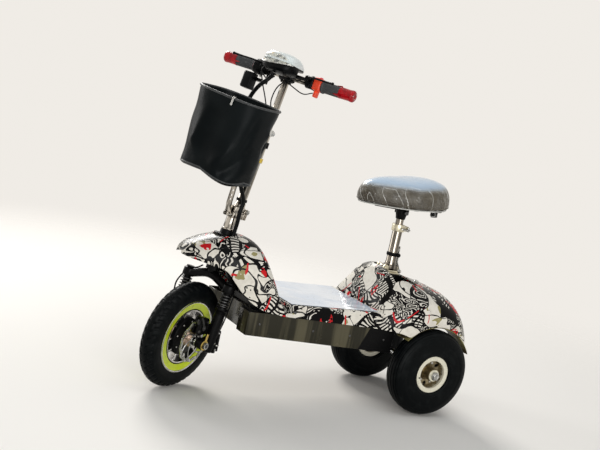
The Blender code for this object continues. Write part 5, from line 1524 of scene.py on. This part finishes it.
def bag():
    outer = bag_wall(0.0)
    inner = [[p + Vector((0, 0, 0.0035)) for p in loop] if k == 0 else loop
            for k, loop in enumerate(bag_wall(0.0028))]
    shell = skin(outer + list(reversed(inner)))
    piece("cloth_bag", shell, "bag", "stem", ["basket_bag"], 55.0)
    rim = outer[-1]
    hem = sweep(rim, 0.0034, 12, wrap=True)
    piece("bag_rim_piping", hem, "piping", "stem")
    foot = sweep([p + Vector((0, 0, 0.003)) for p in outer[9]], 0.0022, 10, wrap=True)
    piece("bag_foot_piping", foot, "piping", "stem")
    spot = rim[int(len(rim) * 0.04)]
    pull = join(shifted(block(-0.004, 0.004, -0.0035, 0.0035, -0.0015, 0.005, 0.001),
            *spot + Vector((0, 0, 0.001))), shifted(block(0.003, 0.0048, -0.0028, 0.0028, -0.019, 0.001,
            0.0007), *spot + Vector((0.0012, 0.0008, 0))))
    piece("bag_zip_pull", pull, "silver", "stem")
    ring_part = join(shifted(soft_ring(0.0143, 0.0185, 0.262, 0.28, 0.0008, 48), STEM_X, 0, 0),
            block(-0.002, 0.074, -0.008, 0.008, 0.266, 0.276, 0.0012),
            block(0.0733, 0.0766, -0.045, 0.045, 0.235, 0.335, 0.0012))
    piece("bag_bracket", ring_part, "black", "stem", ["basket_bracket"])


# cables

def looms():
    route = mm((0, 25.5, -26), (0, 25.5, -10), (0, 25.7, 5), (7, 28.5, 36), (16, 30, 64), (16, 30, 80),
            (16, 30, 93.7), (28, 26, 115), (43, 20, 137), (56, 5, 190), (58, -14, 220), (56, -56, 260),
            (56, -56, 330), (56, -48, 385), (62, -30, 420), (56, -12, 448), (50, -8, 462), (50, -8, 470.5))
    blended("main_cable_sleeve", route, 0.006, 16,
            ["loom_lower", "loom_upper"])


def blended(name, route, radius, segs, stands_for=()):
    """Cable written in the steering frame that runs between two bodies, from start to end; it is left
    unattached.
    """
    obj = piece(name, sweep(smooth_path(route, 10), radius, segs), "sleeve", None, stands_for, place=STEER)
    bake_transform(obj)


def cables():
    blended("motor_lead", [(0.01, -0.03, -0.118), (0.002, -0.048, -0.13), (-0.002, -0.07, -0.14),
            (-0.012, -0.09, -0.15), (0.0, -0.097, -0.176), (0.004, -0.101, -0.198), (0.0, -0.101, -0.23),
            (0.016, -0.099, -0.28), (HUB_X, -0.096, HUB_Z)], 0.0023, 10)
    blended("brake_cable_low", mm((12, 30, -116), (-16, 56, -130), (-30, 78, -164), (-24, 85, -190),
            (-23, 85, -244), (-16, 86, -275)), 0.002, 10)
    loops = [("lamp_lead_left", mm((10, 75, 484), (33, 60, 468), (36, 33, 456), (20, 12, 462)), 0.0017),
            ("lever_cable_left", mm((8, 70, 486), (33, 50, 472), (42, 20, 440), (28, 4, 400), (6, 1, 370)),
            0.0018), ("lever_cable_right", mm((8, -70, 486), (38, -56, 470), (46, -33, 436), (26, -18, 396),
            (4, -10, 360)), 0.0018), ("twist_lead", mm((-20, -90, 468), (-10, -64, 456), (10, -36, 456),
            (24, -16, 464)), 0.002), ("pod_lead", mm((-20, 96, 456), (-26, 64, 446), (-18, 32, 454),
            (6, 12, 464)), 0.0017)]
    for name, route, radius in loops:
        piece(name, sweep(smooth_path(route, 10), radius, 10), "sleeve", "handlebars")


def carried_nodes():
    """Gives the solids that stay shown their own finishes."""
    for node, look in (("main_frame", "black"), ("head_bushing", "zinc"), ("battery_pack", "battery"),
            ("motor_controller", "alloy")):
        obj = frame["nodes"][node]
        obj.data.materials.clear()
        obj.data.materials.append(LOOKS[look])


# stage, lights and camera

def camera():
    right = Vector((-0.8596, 0.4678, 0.2054))
    up = Vector((0.1146, -0.2152, 0.9698))
    back = Vector((0.4979, 0.8572, 0.1314))
    data = bpy.data.cameras.new("camera")
    data.sensor_width = 36.0
    data.lens = 62.05
    obj = bpy.data.objects.new("camera", data)
    bpy.context.scene.collection.objects.link(obj)
    turn = Matrix((right, up, back)).transposed().to_4x4()
    obj.matrix_world = CHASSIS @ Matrix.Translation((2.0, 2.6616, 0.9233)) @ turn
    bpy.context.scene.camera = obj


def area_light(name, place, target, size, power, color=(1.0, 1.0, 1.0)):
    """Rectangular lamp at a place, facing the target."""
    data = bpy.data.lights.new(name, "AREA")
    data.shape = "RECTANGLE"
    data.size, data.size_y = size
    data.energy = power
    data.color = color
    obj = bpy.data.objects.new(name, data)
    bpy.context.scene.collection.objects.link(obj)
    obj.location = place
    obj.rotation_euler = (Vector(place) - Vector(target)).to_track_quat("Z", "Y").to_euler()


BACKDROP = (0.87, 0.838, 0.79)


def world():
    scene_world = bpy.data.worlds.new("studio")
    bpy.context.scene.world = scene_world
    scene_world.use_nodes = True
    nodes = scene_world.node_tree.nodes
    links = scene_world.node_tree.links
    light = nodes["Background"]
    light.inputs["Color"].default_value = (0.94, 0.97, 1.0, 1.0)
    light.inputs["Strength"].default_value = 0.28
    plain = nodes.new("ShaderNodeBackground")
    plain.inputs["Color"].default_value = (*BACKDROP, 1.0)
    rays = nodes.new("ShaderNodeLightPath")
    seen = rays.outputs["Is Camera Ray"]
    for kind in ("Is Glossy Ray", "Is Transmission Ray"):
        either = nodes.new("ShaderNodeMath")
        either.operation = "MAXIMUM"
        links.new(seen, either.inputs[0])
        links.new(rays.outputs[kind], either.inputs[1])
        seen = either.outputs[0]
    mixed = nodes.new("ShaderNodeMixShader")
    links.new(seen, mixed.inputs[0])
    links.new(light.outputs[0], mixed.inputs[1])
    links.new(plain.outputs[0], mixed.inputs[2])
    links.new(mixed.outputs[0], nodes["World Output"].inputs["Surface"])


def floor():
    """Pale round floor that fades into the backdrop before the horizon."""
    rings = [0.001, 0.5, 1.0, 1.5, 2.0, 2.5, 3.0, 3.6]
    bm = skin([[polar(r, a, 0.0) for a in angles(96)] for r in rings], cap=False)
    bmesh.ops.recalc_face_normals(bm, faces=bm.faces)
    for face in bm.faces:
        if face.normal.z < 0:
            face.normal_flip()
    mesh = bpy.data.meshes.new("floor")
    bm.to_mesh(mesh)
    bm.free()
    obj = bpy.data.objects.new("floor", mesh)
    bpy.context.scene.collection.objects.link(obj)
    obj.location.z = -0.0006
    p = Paint("floor_pale")
    away = p.vector("LENGTH", p.place, output="Value")
    mesh.materials.append(p.finish(color=BACKDROP, rough=0.85, specular=0.1,
            alpha=1.0 - away.between(1.2, 3.0)))


def stage():
    bpy.context.scene.view_settings.view_transform = "Standard"
    camera()
    world()
    floor()
    area_light("key_behind", (-0.3, -5.8, 4.1), (0.0, 0.0, 0.3), (3.0, 2.3), 350.0, (1.0, 0.985, 0.96))
    area_light("top_soft", (0.2, 0.6, 4.4), (0.0, 0.0, 0.4), (4.0, 3.6), 50.0, (0.93, 0.97, 1.0))
    area_light("front_soft", (0.9, 3.4, 1.0), (0.0, 0.0, 0.4), (2.2, 1.4), 58.0)
    area_light("nose_side", (2.0, -2.2, 1.3), (0.0, 0.0, 0.6), (1.0, 1.4), 22.0)


def main():
    for make in (front_cover, rear_cover, deck_panel, deck_film, battery_box, wheel_arches, cover_bolts,
            rear_wheels, saddle, saddle_frame, saddle_post, saddle_hinge, front_wheel, front_axle_set, fork,
            stem_foot, stem_mast, riser, grips, left_controls, right_controls, brake_levers, headlight,
            hanging_box, bag, looms, cables, carried_nodes):
        make()
    stage()


main()
